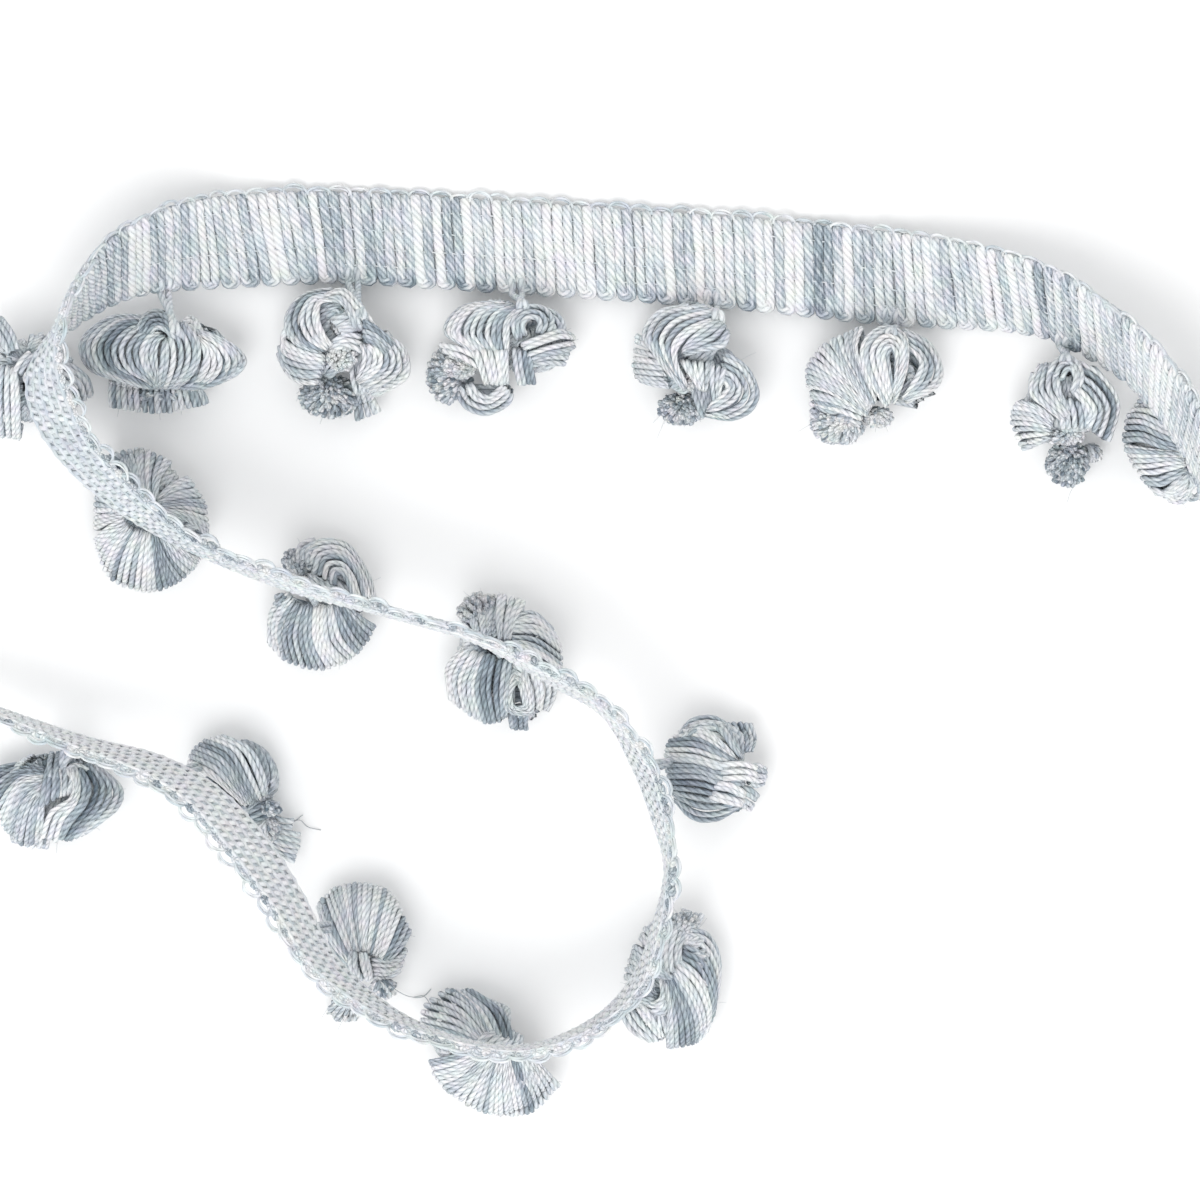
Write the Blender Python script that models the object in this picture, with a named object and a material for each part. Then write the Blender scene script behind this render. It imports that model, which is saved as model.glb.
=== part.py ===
"""Pompom fringe trim: a woven heading tape with pompoms on short loops, lying as a loose length.

Metres, +Z up, standing on z = 0. One mesh object for each piece.
"""
import math
import random

import bmesh
import bpy
from mathutils import Vector

for old in list(bpy.data.objects):
    bpy.data.objects.remove(old, do_unlink=True)

# Scale and origin of the layout tables, whose plan positions are in units of the top view
MM = 0.001
UNIT = 0.14 * MM
PLAN_X0 = 577.5815
PLAN_Y0 = 649.188

# Heading tape
TAPE_WIDTH = 12.6 * MM
RIB_THICKNESS = 1.8 * MM
GROOVE_THICKNESS = 1.3 * MM
SCALLOP_DEPTH = 0.45 * MM
RIB_PITCH = 2.8 * MM
RIB_SKEW = 0.13

# Pompom
LOCKS = 10
TUFT_LOCKS = 5
TUFT_STEP = 2
HEAD_RADIUS = 1.35 * MM
CORE_RADIUS = 2.1 * MM
FULL_REACH = 5.4 * MM
TIE_RADIUS = 1.5 * MM
BAND = 1.6 * MM
TUFT_ROOT = 0.95 * MM
TUFT_TIP = 1.25 * MM
LOCK_FILL = 0.37
PRESSED = 1.12
LOCK_DEPTH = 1.15 * MM
LOCK_BEND_COLUMNS = ("share_of_reach", "share_of_length", "lift")
LOCK_BEND = ((0.64, 0.05, -0.9), (0.97, 0.32, -0.3), (0.98, 0.66, 0.3), (0.66, 0.90, 0.9))
LOOP_WIDTH = 1.15 * MM
LOOP_DEPTH = 0.65 * MM
LOOP_GAP = 0.5 * MM
LOOP_REACH = 3.0 * MM
SEED = 17

# Tape stations from its right end to its left end. The lean turns the picot edge up from
# level on the right hand of the run: 90 stands upright, more leans over to the left hand.
TAPE_COLUMNS = ("x", "y", "z_mm", "lean_deg")
TAPE_STATIONS = (
    (1222, 545, 25.0, 80),
    (1209, 484, 24.0, 76),
    (1189, 431, 21.5, 69),
    (1147, 371, 16.8, 63),
    (1100, 331, 12.2, 57),
    (1050, 302, 8.6, 46),
    (1000, 289, 5.9, 35),
    (940, 281, 3.6, 21),
    (860, 273, 2.3, 2),
    (740, 261, 2.0, -7),
    (600, 251, 2.0, -7),
    (450, 241, 2.0, -7),
    (330, 235, 2.0, -7),
    (250, 238, 2.8, 4),
    (206, 242, 5.2, 18),
    (164, 249, 9.0, 34),
    (128, 263, 13.0, 50),
    (98, 284, 16.8, 64),
    (69, 318, 20.3, 84),
    (52, 358, 22.4, 106),
    (54, 400, 22.9, 119),
    (81, 451, 22.9, 114),
    (136, 504, 23.0, 107),
    (201, 546, 23.1, 97),
    (300, 586, 23.1, 95),
    (400, 614, 23.1, 91),
    (480, 638, 23.1, 92),
    (560, 680, 23.1, 96),
    (610, 713, 23.0, 94),
    (644, 765, 22.9, 101),
    (662, 820, 22.8, 98),
    (670, 870, 22.9, 92),
    (660, 925, 23.0, 95),
    (641, 978, 23.1, 98),
    (597, 1022, 23.1, 95),
    (530, 1048, 23.1, 93),
    (460, 1041, 23.1, 92),
    (386, 1012, 22.6, 98),
    (323, 961, 21.6, 107),
    (286, 898, 21.0, 112),
    (248, 844, 20.6, 115),
    (206, 798, 19.8, 111),
    (153, 766, 18.2, 105),
    (82, 744, 16.2, 98),
    (0, 714, 15.6, 94),
    (-70, 688, 15.6, 94),
)

# Pompoms: the head ring under the loop, the tie, half widths across the yarn, and the tuft
POMPOM_COLUMNS = ("head_x", "head_y", "head_z", "tie_x", "tie_y", "tie_z",
                  "wide", "deep", "tuft_long", "tuft_wide")
POMPOMS = {
    "pompom_01": (167, 326, 6.6, 160, 388, 5.8, 11.4, 6.4, 3.6, 5.6),
    "pompom_02": (352, 306, 6.6, 339, 384, 6.2, 9.2, 6.9, 5.0, 2.6),
    "pompom_03": (531, 317, 6.6, 475, 378, 6.2, 8.5, 6.9, 4.2, 2.4),
    "pompom_04": (709, 320, 6.6, 688, 394, 6.2, 8.6, 6.9, 4.8, 2.4),
    "pompom_05": (894, 338, 6.8, 854, 410, 6.2, 9.1, 6.9, 4.8, 2.6),
    "pompom_06": (1063, 370, 6.8, 1065, 444, 6.2, 7.5, 6.9, 5.6, 1.4),
    "pompom_07": (1170, 448, 12.6, 1157, 454, 2.7, 5.8, 7.4, 3.6, 2.6),
    "pompom_08": (28, 378, 13.4, 28, 378, 2.7, 9.0, 8.3, 3.6, 2.6),
    "pompom_09": (151, 518, 13.4, 151, 518, 2.7, 7.7, 9.6, 3.6, 2.6),
    "pompom_10": (322, 603, 13.4, 322, 603, 2.7, 7.6, 9.3, 3.6, 2.6),
    "pompom_11": (503, 660, 13.4, 503, 660, 2.7, 8.0, 9.6, 3.6, 2.6),
    "pompom_12": (678, 758, 7.0, 742, 768, 5.9, 7.4, 6.8, 2.4, 3.6),
    "pompom_13": (670, 976, 13.4, 670, 976, 2.7, 7.1, 9.8, 3.6, 2.6),
    "pompom_14": (488, 1049, 13.4, 488, 1049, 2.7, 9.5, 8.7, 3.6, 2.6),
    "pompom_15": (346, 918, 8.6, 376, 962, 5.2, 7.2, 6.6, 3.6, 2.2),
    "pompom_16": (213, 754, 5.9, 259, 795, 4.9, 5.0, 5.8, 6.6, 1.4),
    "pompom_17": (62, 772, 6.4, 61, 822, 5.7, 9.2, 6.4, 1.8, 5.0),
}

# Colours
YARN_BLUE = (0.50, 0.60, 0.67, 1.0)
TAPE_BLUE = (0.62, 0.70, 0.75, 1.0)


def at_plan(x, y, z_mm):
    """A point of the layout tables in metres."""
    return Vector(((x - PLAN_X0) * UNIT, (PLAN_Y0 - y) * UNIT, z_mm * MM))


def material(name, colour):
    """A plain rough material with its own shader."""
    made = bpy.data.materials.new(name)
    made.use_nodes = True
    shader = made.node_tree.nodes["Principled BSDF"]
    shader.inputs["Base Color"].default_value = colour
    shader.inputs["Roughness"].default_value = 0.9
    return made


def add_piece(name, verts, faces, colour):
    """One closed mesh as an object with its own material."""
    mesh = bpy.data.meshes.new(name)
    mesh.from_pydata([tuple(v) for v in verts], [], faces)
    shape = bmesh.new()
    shape.from_mesh(mesh)
    bmesh.ops.recalc_face_normals(shape, faces=shape.faces)
    shape.to_mesh(mesh)
    shape.free()
    mesh.materials.append(material(name, colour))
    piece = bpy.data.objects.new(name, mesh)
    bpy.context.scene.collection.objects.link(piece)
    return piece


def between(p0, p1, p2, p3, t):
    """A smooth curve's value between p1 and p2."""
    return 0.5 * (2 * p1 + (p2 - p0) * t + (2 * p0 - 5 * p1 + 4 * p2 - p3) * t * t
                  + (3 * p1 - p0 - 3 * p2 + p3) * t * t * t)


def tape_line():
    """The tape's middle line and lean at even steps of half a rib."""
    knots = [(at_plan(x, y, z), lean) for x, y, z, lean in TAPE_STATIONS]
    fine = []
    for i in range(len(knots) - 1):
        near = [knots[max(0, min(len(knots) - 1, i + k))] for k in (-1, 0, 1, 2)]
        for step in range(24):
            t = step / 24
            fine.append((between(*(n[0] for n in near), t), between(*(n[1] for n in near), t)))
    fine.append(knots[-1])
    run = [0.0]
    for (p, _), (q, _) in zip(fine, fine[1:]):
        run.append(run[-1] + (q - p).length)
    count = 2 * int(run[-1] / RIB_PITCH)
    line = []
    j = 0
    for i in range(count + 1):
        want = run[-1] * i / count
        while j < len(run) - 2 and run[j + 1] < want:
            j += 1
        t = (want - run[j]) / (run[j + 1] - run[j])
        line.append((fine[j][0].lerp(fine[j + 1][0], t), fine[j][1] * (1 - t) + fine[j + 1][1] * t))
    return line


def tape_frames():
    """Middle, run direction, direction to the picot edge and face direction of each section."""
    line = tape_line()
    frames = []
    for i, (middle, lean) in enumerate(line):
        run = (line[min(i + 2, len(line) - 1)][0] - line[max(i - 2, 0)][0]).normalized()
        side = Vector((run.y, -run.x, 0)).normalized()
        up = side.cross(run)
        across = math.cos(math.radians(lean)) * side + math.sin(math.radians(lean)) * up
        frames.append((middle, run, across, across.cross(run)))
    return frames


def heading_tape(frames):
    """The tape as one closed strip whose ribs stand up and scallop both edges."""
    verts = []
    faces = []
    for i, (middle, run, across, face) in enumerate(frames):
        rib = i % 2 == 1
        half = TAPE_WIDTH / 2 - (0 if rib else SCALLOP_DEPTH)
        thick = (RIB_THICKNESS if rib else GROOVE_THICKNESS) / 2
        reach = half * (across + RIB_SKEW * run)
        verts += [middle + reach + thick * face, middle + reach - thick * face,
                  middle - reach - thick * face, middle - reach + thick * face]
    for i in range(len(frames) - 1):
        a = 4 * i
        b = a + 4
        for k in range(4):
            n = (k + 1) % 4
            faces.append((a + k, b + k, b + n, a + n))
    last = len(verts) - 4
    faces.append((0, 1, 2, 3))
    faces.append((last + 3, last + 2, last + 1, last))
    return add_piece("heading_tape", verts, faces, TAPE_BLUE)


def ring(verts, centre, out, size_a, size_b, out_b, count, turn):
    """Adds a ring of points and returns their numbers."""
    first = len(verts)
    for k in range(count):
        angle = turn + 2 * math.pi * k / count
        verts.append(centre + size_a * math.cos(angle) * out + size_b * math.sin(angle) * out_b)
    return list(range(first, first + count))


def join_rings(faces, big, small):
    """Fills the band between two rings with unlike counts."""
    i = 0
    j = 0
    while i < len(big) or j < len(small):
        if j * len(big) >= i * len(small) and i < len(big):
            faces.append((big[i], big[(i + 1) % len(big)], small[j % len(small)]))
            i += 1
        else:
            faces.append((big[i % len(big)], small[(j + 1) % len(small)], small[j]))
            j += 1


def tube(verts, faces, start, sections):
    """Carries a four-sided strand on from a quad through sections of four corners each."""
    quad = start
    for corners in sections:
        first = len(verts)
        if isinstance(corners[0], int):
            nxt = list(corners)
        else:
            verts.extend(corners)
            nxt = list(range(first, first + 4))
        for k in range(4):
            n = (k + 1) % 4
            faces.append((quad[k], nxt[k], nxt[n], quad[n]))
        quad = nxt
    return quad


def section(centre, side, out, half_wide, half_deep):
    """Four corners around a strand, kept off the floor so that it lies level there."""
    low = half_wide * abs(side.z) + half_deep * abs(out.z)
    middle = Vector((centre.x, centre.y, max(centre.z, low)))
    return [middle - half_wide * side + half_deep * out, middle + half_wide * side + half_deep * out,
            middle + half_wide * side - half_deep * out, middle - half_wide * side - half_deep * out]


def nearest_edge(frames, point):
    """The tape's lower edge nearest to a point, and the direction that leads away from it."""
    best = None
    for middle, run, across, face in frames[1:-1:2]:
        edge = middle - (TAPE_WIDTH / 2) * (across + RIB_SKEW * run)
        if best is None or (edge - point).length < (best[0] - point).length:
            best = (edge, -across)
    return best


def pompom(name, row, frames, rng):
    """A head and a tie with bulging locks between them, a tuft below and a hanging loop above."""
    size = dict(zip(POMPOM_COLUMNS, row))
    head = at_plan(size["head_x"], size["head_y"], size["head_z"])
    tie = at_plan(size["tie_x"], size["tie_y"], size["tie_z"])
    slim = min(1.0, (min(size["wide"], size["deep"]) * MM - LOCK_DEPTH) / FULL_REACH)
    lock_depth = slim * LOCK_DEPTH
    core = slim * CORE_RADIUS
    wide = size["wide"] * MM - lock_depth
    deep = size["deep"] * MM - lock_depth
    axis = (tie - head).normalized()
    length = (tie - head).length
    level = axis.cross(Vector((0, 0, 1)))
    standing = level.length < 0.75
    side = Vector((1, 0, 0)) if standing else level.normalized()
    side = (side - side.dot(axis) * axis).normalized()
    out = side.cross(axis)
    if not standing and out.z < 0:
        out = -out
    verts = []
    faces = []
    turn = rng.uniform(0, 2 * math.pi / LOCKS) if standing else math.pi / 2 - math.pi / LOCKS
    stops = ((0, slim * HEAD_RADIUS), (BAND, core), (length - BAND, core),
             (length, slim * TIE_RADIUS), (length + BAND, core))
    rings = [ring(verts, head + s * axis, side, r, r, out, LOCKS, turn) for s, r in stops]
    # Core between the two rows of roots, then the tuft's band and the closing cap
    for k in range(LOCKS):
        n = (k + 1) % LOCKS
        faces.append((rings[1][k], rings[2][k], rings[2][n], rings[1][n]))
    tuft_roots = [1 + TUFT_STEP * k for k in range(TUFT_LOCKS)]
    for k in range(LOCKS):
        n = (k + 1) % LOCKS
        if k not in tuft_roots:
            faces.append((rings[3][k], rings[4][k], rings[4][n], rings[3][n]))
    faces.append(tuple(rings[4][::-1]))
    # Bulging locks
    for k in range(LOCKS):
        n = (k + 1) % LOCKS
        angle = turn + 2 * math.pi * (k + 0.5) / LOCKS
        radial = math.cos(angle) * side + math.sin(angle) * out
        reach = 1.0 / math.hypot(math.cos(angle) / wide, math.sin(angle) / deep)
        reach *= rng.uniform(0.93, 1.0)
        around = math.cos(angle) * out - math.sin(angle) * side
        half = LOCK_FILL * 2 * math.pi * reach / LOCKS
        if radial.z < -0.9:
            reach *= PRESSED
        sections = []
        for share, along, lift in LOCK_BEND:
            centre = head + along * length * axis + share * reach * radial
            facing = (radial + lift * axis).normalized()
            sections.append(section(centre, around, facing, share * half, lock_depth))
        start = (rings[0][k], rings[0][n], rings[1][n], rings[1][k])
        end = (rings[3][k], rings[3][n], rings[2][n], rings[2][k])
        tube(verts, faces, start, sections + [end])
    # Cut ends below the tie
    for k in tuft_roots:
        n = (k + 1) % LOCKS
        angle = turn + 2 * math.pi * (k + 0.5) / LOCKS
        radial = math.cos(angle) * side + math.sin(angle) * out
        around = math.cos(angle) * out - math.sin(angle) * side
        spread = size["tuft_wide"] * MM * (abs(math.cos(angle)) * 0.6 + 0.4)
        root = head + (length + BAND / 2) * axis
        first = root + 0.9 * BAND * axis + (core + 0.2 * spread) * radial
        tip_out = core + spread
        tip = root + size["tuft_long"] * MM * rng.uniform(0.85, 1.0) * axis + tip_out * radial
        facing = (radial - 0.6 * axis).normalized()
        sections = [section(first, around, facing, slim * TUFT_ROOT, slim * TUFT_ROOT),
                    section(tip, around, facing, slim * TUFT_TIP, slim * TUFT_ROOT)]
        start = (rings[3][k], rings[3][n], rings[4][n], rings[4][k])
        faces.append(tuple(tube(verts, faces, start, sections)))
    # Hanging loop up to the tape
    edge, away = nearest_edge(frames, head - LOOP_REACH * axis)
    end = edge + LOOP_GAP * away
    base = head - 0.7 * MM * axis
    middle = base.lerp(end, 0.5) + 0.3 * MM * (away - axis)
    quad = ring(verts, base, side, LOOP_WIDTH, LOOP_DEPTH, out, 4, turn + math.pi / 4)
    join_rings(faces, rings[0], quad)
    heading = -axis
    for point, toward in ((middle, (end - base).normalized()), (end, -away)):
        bend = heading.rotation_difference(toward)
        side = bend @ side
        out = bend @ out
        heading = toward
        corners = ring(verts, point, side, LOOP_WIDTH, LOOP_DEPTH, out, 4, turn + math.pi / 4)
        for k in range(4):
            n = (k + 1) % 4
            faces.append((quad[k], corners[k], corners[n], quad[n]))
        quad = corners
    faces.append(tuple(quad))
    return add_piece(name, verts, faces, YARN_BLUE)


FRAMES = tape_frames()
heading_tape(FRAMES)
RNG = random.Random(SEED)
for NAME, ROW in POMPOMS.items():
    pompom(NAME, ROW, FRAMES, RNG)
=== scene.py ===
import math
import random

import bpy
import mathutils
import numpy as np
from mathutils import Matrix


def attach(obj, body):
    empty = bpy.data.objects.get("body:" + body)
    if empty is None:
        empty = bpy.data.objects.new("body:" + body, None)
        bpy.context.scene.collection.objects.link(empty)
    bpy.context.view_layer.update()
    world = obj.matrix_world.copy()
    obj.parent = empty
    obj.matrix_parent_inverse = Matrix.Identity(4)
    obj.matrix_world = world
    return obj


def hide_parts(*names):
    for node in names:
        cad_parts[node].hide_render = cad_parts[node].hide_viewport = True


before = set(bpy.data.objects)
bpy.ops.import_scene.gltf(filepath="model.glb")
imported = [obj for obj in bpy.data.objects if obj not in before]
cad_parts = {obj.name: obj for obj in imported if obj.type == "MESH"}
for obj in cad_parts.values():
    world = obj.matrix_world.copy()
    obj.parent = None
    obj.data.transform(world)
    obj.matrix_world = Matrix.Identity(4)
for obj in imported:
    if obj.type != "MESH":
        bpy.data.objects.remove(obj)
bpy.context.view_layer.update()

# Layout tables of the part's source: plan units and the tape's stations
MM = 0.001
UNIT = 0.14 * MM
PLAN_X0 = 577.5815
PLAN_Y0 = 649.188
TAPE_WIDTH = 12.6 * MM
RIB_PITCH = 2.8 * MM
RIB_SKEW = 0.13
SPAN_STEPS = 24

TAPE_COLUMNS = ("x", "y", "z_mm", "lean_deg")
TAPE_STATIONS = (
    (1222, 545, 25.0, 80), (1209, 484, 24.0, 76), (1189, 431, 21.5, 69), (1147, 371, 16.8, 63),
    (1100, 331, 12.2, 57), (1050, 302, 8.6, 46), (1000, 289, 5.9, 35), (940, 281, 3.6, 21),
    (860, 273, 2.3, 2), (740, 261, 2.0, -7), (600, 251, 2.0, -7), (450, 241, 2.0, -7),
    (330, 235, 2.0, -7), (250, 238, 2.8, 4), (206, 242, 5.2, 18), (164, 249, 9.0, 34),
    (128, 263, 13.0, 50), (98, 284, 16.8, 64), (69, 318, 20.3, 84), (52, 358, 22.4, 106),
    (54, 400, 22.9, 119), (81, 451, 22.9, 114), (136, 504, 23.0, 107), (201, 546, 23.1, 97),
    (300, 586, 23.1, 95), (400, 614, 23.1, 91), (480, 638, 23.1, 92), (560, 680, 23.1, 96),
    (610, 713, 23.0, 94), (644, 765, 22.9, 101), (662, 820, 22.8, 98), (670, 870, 22.9, 92),
    (660, 925, 23.0, 95), (641, 978, 23.1, 98), (597, 1022, 23.1, 95), (530, 1048, 23.1, 93),
    (460, 1041, 23.1, 92), (386, 1012, 22.6, 98), (323, 961, 21.6, 107), (286, 898, 21.0, 112),
    (248, 844, 20.6, 115), (206, 798, 19.8, 111), (153, 766, 18.2, 105), (82, 744, 16.2, 98),
    (0, 714, 15.6, 94), (-70, 688, 15.6, 94),
)

# Pompoms. Each lobe is a fan of yarns from its head pole to its tie pole. The angles turn
# about that line: 0 is level on the right hand of the way from head to tie, 90 is up.
LOBE_COLUMNS = ("head_x", "head_y", "head_z", "tie_x", "tie_y", "tie_z", "wide", "deep",
                "angle_from", "angle_to", "ridge", "puff_head", "puff_tie", "gather")
LOBES = {
    "pompom_01": ((165, 334, 8.2, 160, 386, 6.6, 11.6, 5.6, 0, 360, 1.0, 3.2, 0.2, 4.4),),
    "pompom_02": ((362, 322, 8.5, 324, 374, 7.4, 8.6, 6.0, -70, 112, 1.0, 2.0, 0.6, 1.8),
                  (360, 335, 7.5, 366, 392, 6.4, 6.3, 6.0, 66, 255, 0.6, 0.6, 0.8, 1.4),
                  (346, 338, 11.2, 360, 334, 10.6, 4.2, 2.4, 100, 205, 0.2, 3.0, 0.6, 1.0)),
    "pompom_03": ((520, 326, 8.6, 490, 370, 6.8, 8.6, 5.8, -70, 120, 1.6, 2.2, 0.2, 2.6),
                  (522, 330, 7.8, 520, 368, 6.4, 7.2, 5.6, 72, 250, 0.6, 1.6, 0.4, 1.4),
                  (470, 386, 4.6, 508, 384, 4.6, 4.0, 3.6, -50, 90, 0.3, 0.4, 0.4, 1.0)),
    "pompom_04": ((716, 322, 8.2, 674, 390, 6.4, 8.0, 6.0, -80, 118, 1.0, 1.4, 0.2, 2.4),
                  (690, 354, 7.2, 706, 412, 5.6, 7.9, 5.2, 72, 255, 0.6, 0.6, 1.2, 1.4)),
    "pompom_05": ((848, 374, 2.8, 864, 402, 9.8, 7.0, 8.6, 120, 318, 0.8, 0.4, 0.8, 1.6),
                  (884, 402, 6.8, 893, 404, 6.4, 10.6, 4.8, 92, 215, 0.2, 3.4, 6.2, 1.0)),
    "pompom_06": ((1066, 372, 8.4, 1072, 430, 6.8, 6.7, 5.6, 60, 255, 0.6, 1.2, 0.8, 1.4),
                  (1052, 368, 8.2, 1064, 428, 7.6, 4.8, 4.8, -20, 110, 0.6, 0.8, 0.2, 1.4),
                  (1044, 408, 2.6, 1054, 424, 7.8, 5.4, 4.6, 70, 250, 0.6, 0.3, 0.5, 1.2)),
    "pompom_07": ((1180, 448, 12.4, 1160, 454, 2.7, 6.4, 7.4, 0, 360, 2.5, 1.4, 0.2, 1.2),),
    "pompom_08": ((28, 378, 13.0, 28, 380, 2.7, 7.6, 7.4, 0, 360, 2.5, 1.6, 0.2, 1.2),),
    "pompom_09": ((151, 518, 13.0, 151, 518, 2.7, 7.9, 9.6, 0, 360, 3.0, 1.6, 0.2, 1.2),),
    "pompom_10": ((316, 603, 13.0, 318, 606, 2.7, 7.4, 9.2, 165, 380, 3.6, 1.6, 0.2, 1.2),
                  (308, 564, 8.8, 354, 590, 6.2, 5.0, 4.8, 50, 240, 0.6, 0.6, 2.2, 1.4)),
    "pompom_11": ((500, 655, 13.0, 500, 658, 2.7, 7.8, 9.2, -20, 288, 3.0, 1.6, 0.2, 1.2),
                  (508, 716, 6.0, 518, 718, 5.6, 6.6, 4.6, 92, 215, 0.2, 1.2, 3.0, 1.0)),
    "pompom_12": ((682, 760, 8.2, 740, 770, 6.8, 7.4, 6.0, 0, 360, 2.2, 1.2, 0.2, 2.8),),
    "pompom_13": ((670, 976, 13.0, 670, 976, 2.7, 7.2, 9.8, 0, 360, 3.2, 1.6, 0.2, 1.2),),
    "pompom_14": ((486, 1042, 13.0, 474, 1030, 2.7, 7.6, 6.4, 40, 215, 3.0, 1.4, 0.2, 1.2),
                  (498, 1056, 13.0, 500, 1062, 2.7, 8.0, 7.2, 160, 385, 3.0, 1.4, 0.2, 1.2)),
    "pompom_15": ((358, 926, 3.0, 370, 960, 9.6, 6.2, 8.0, 140, 410, 0.6, 0.4, 0.8, 1.4),),
    "pompom_16": ((226, 762, 2.8, 258, 798, 7.4, 6.4, 5.8, 140, 370, 0.6, 0.4, 0.6, 1.2),),
    "pompom_17": ((62, 773, 9.8, 60, 812, 2.8, 8.7, 6.6, 0, 360, 1.6, 0.9, 0.2, 1.8),),
}

# The rounded top of each pompom in plan: middle, half sizes, and heights at rim and top in mm
DOME_COLUMNS = ("x", "y", "half_x", "half_y", "z_rim", "z_top")
DOMES = {
    "pompom_01": (162, 352, 84, 38, 6.4, 12.8),
    "pompom_02": (343, 346, 66, 60, 6.2, 12.8),
    "pompom_03": (505, 352, 70, 56, 6.0, 12.6),
    "pompom_04": (697, 365, 62, 60, 6.2, 12.6),
    "pompom_05": (873, 378, 68, 54, 6.0, 12.4),
    "pompom_06": (1064, 405, 55, 50, 6.2, 12.4),
    "pompom_07": (1168, 450, 47, 54, 6.0, 13.0),
    "pompom_08": (28, 378, 66, 62, 6.0, 13.4),
    "pompom_09": (152, 520, 57, 70, 6.0, 13.4),
    "pompom_10": (322, 603, 55, 67, 5.6, 13.2),
    "pompom_11": (504, 660, 58, 70, 5.8, 13.2),
    "pompom_12": (712, 770, 54, 48, 5.8, 12.4),
    "pompom_13": (667, 978, 52, 69, 6.0, 13.2),
    "pompom_14": (486, 1050, 72, 64, 5.8, 13.2),
    "pompom_15": (364, 932, 46, 50, 5.0, 12.6),
    "pompom_16": (234, 770, 44, 38, 4.6, 11.0),
    "pompom_17": (58, 803, 68, 48, 5.2, 12.2),
}

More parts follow.
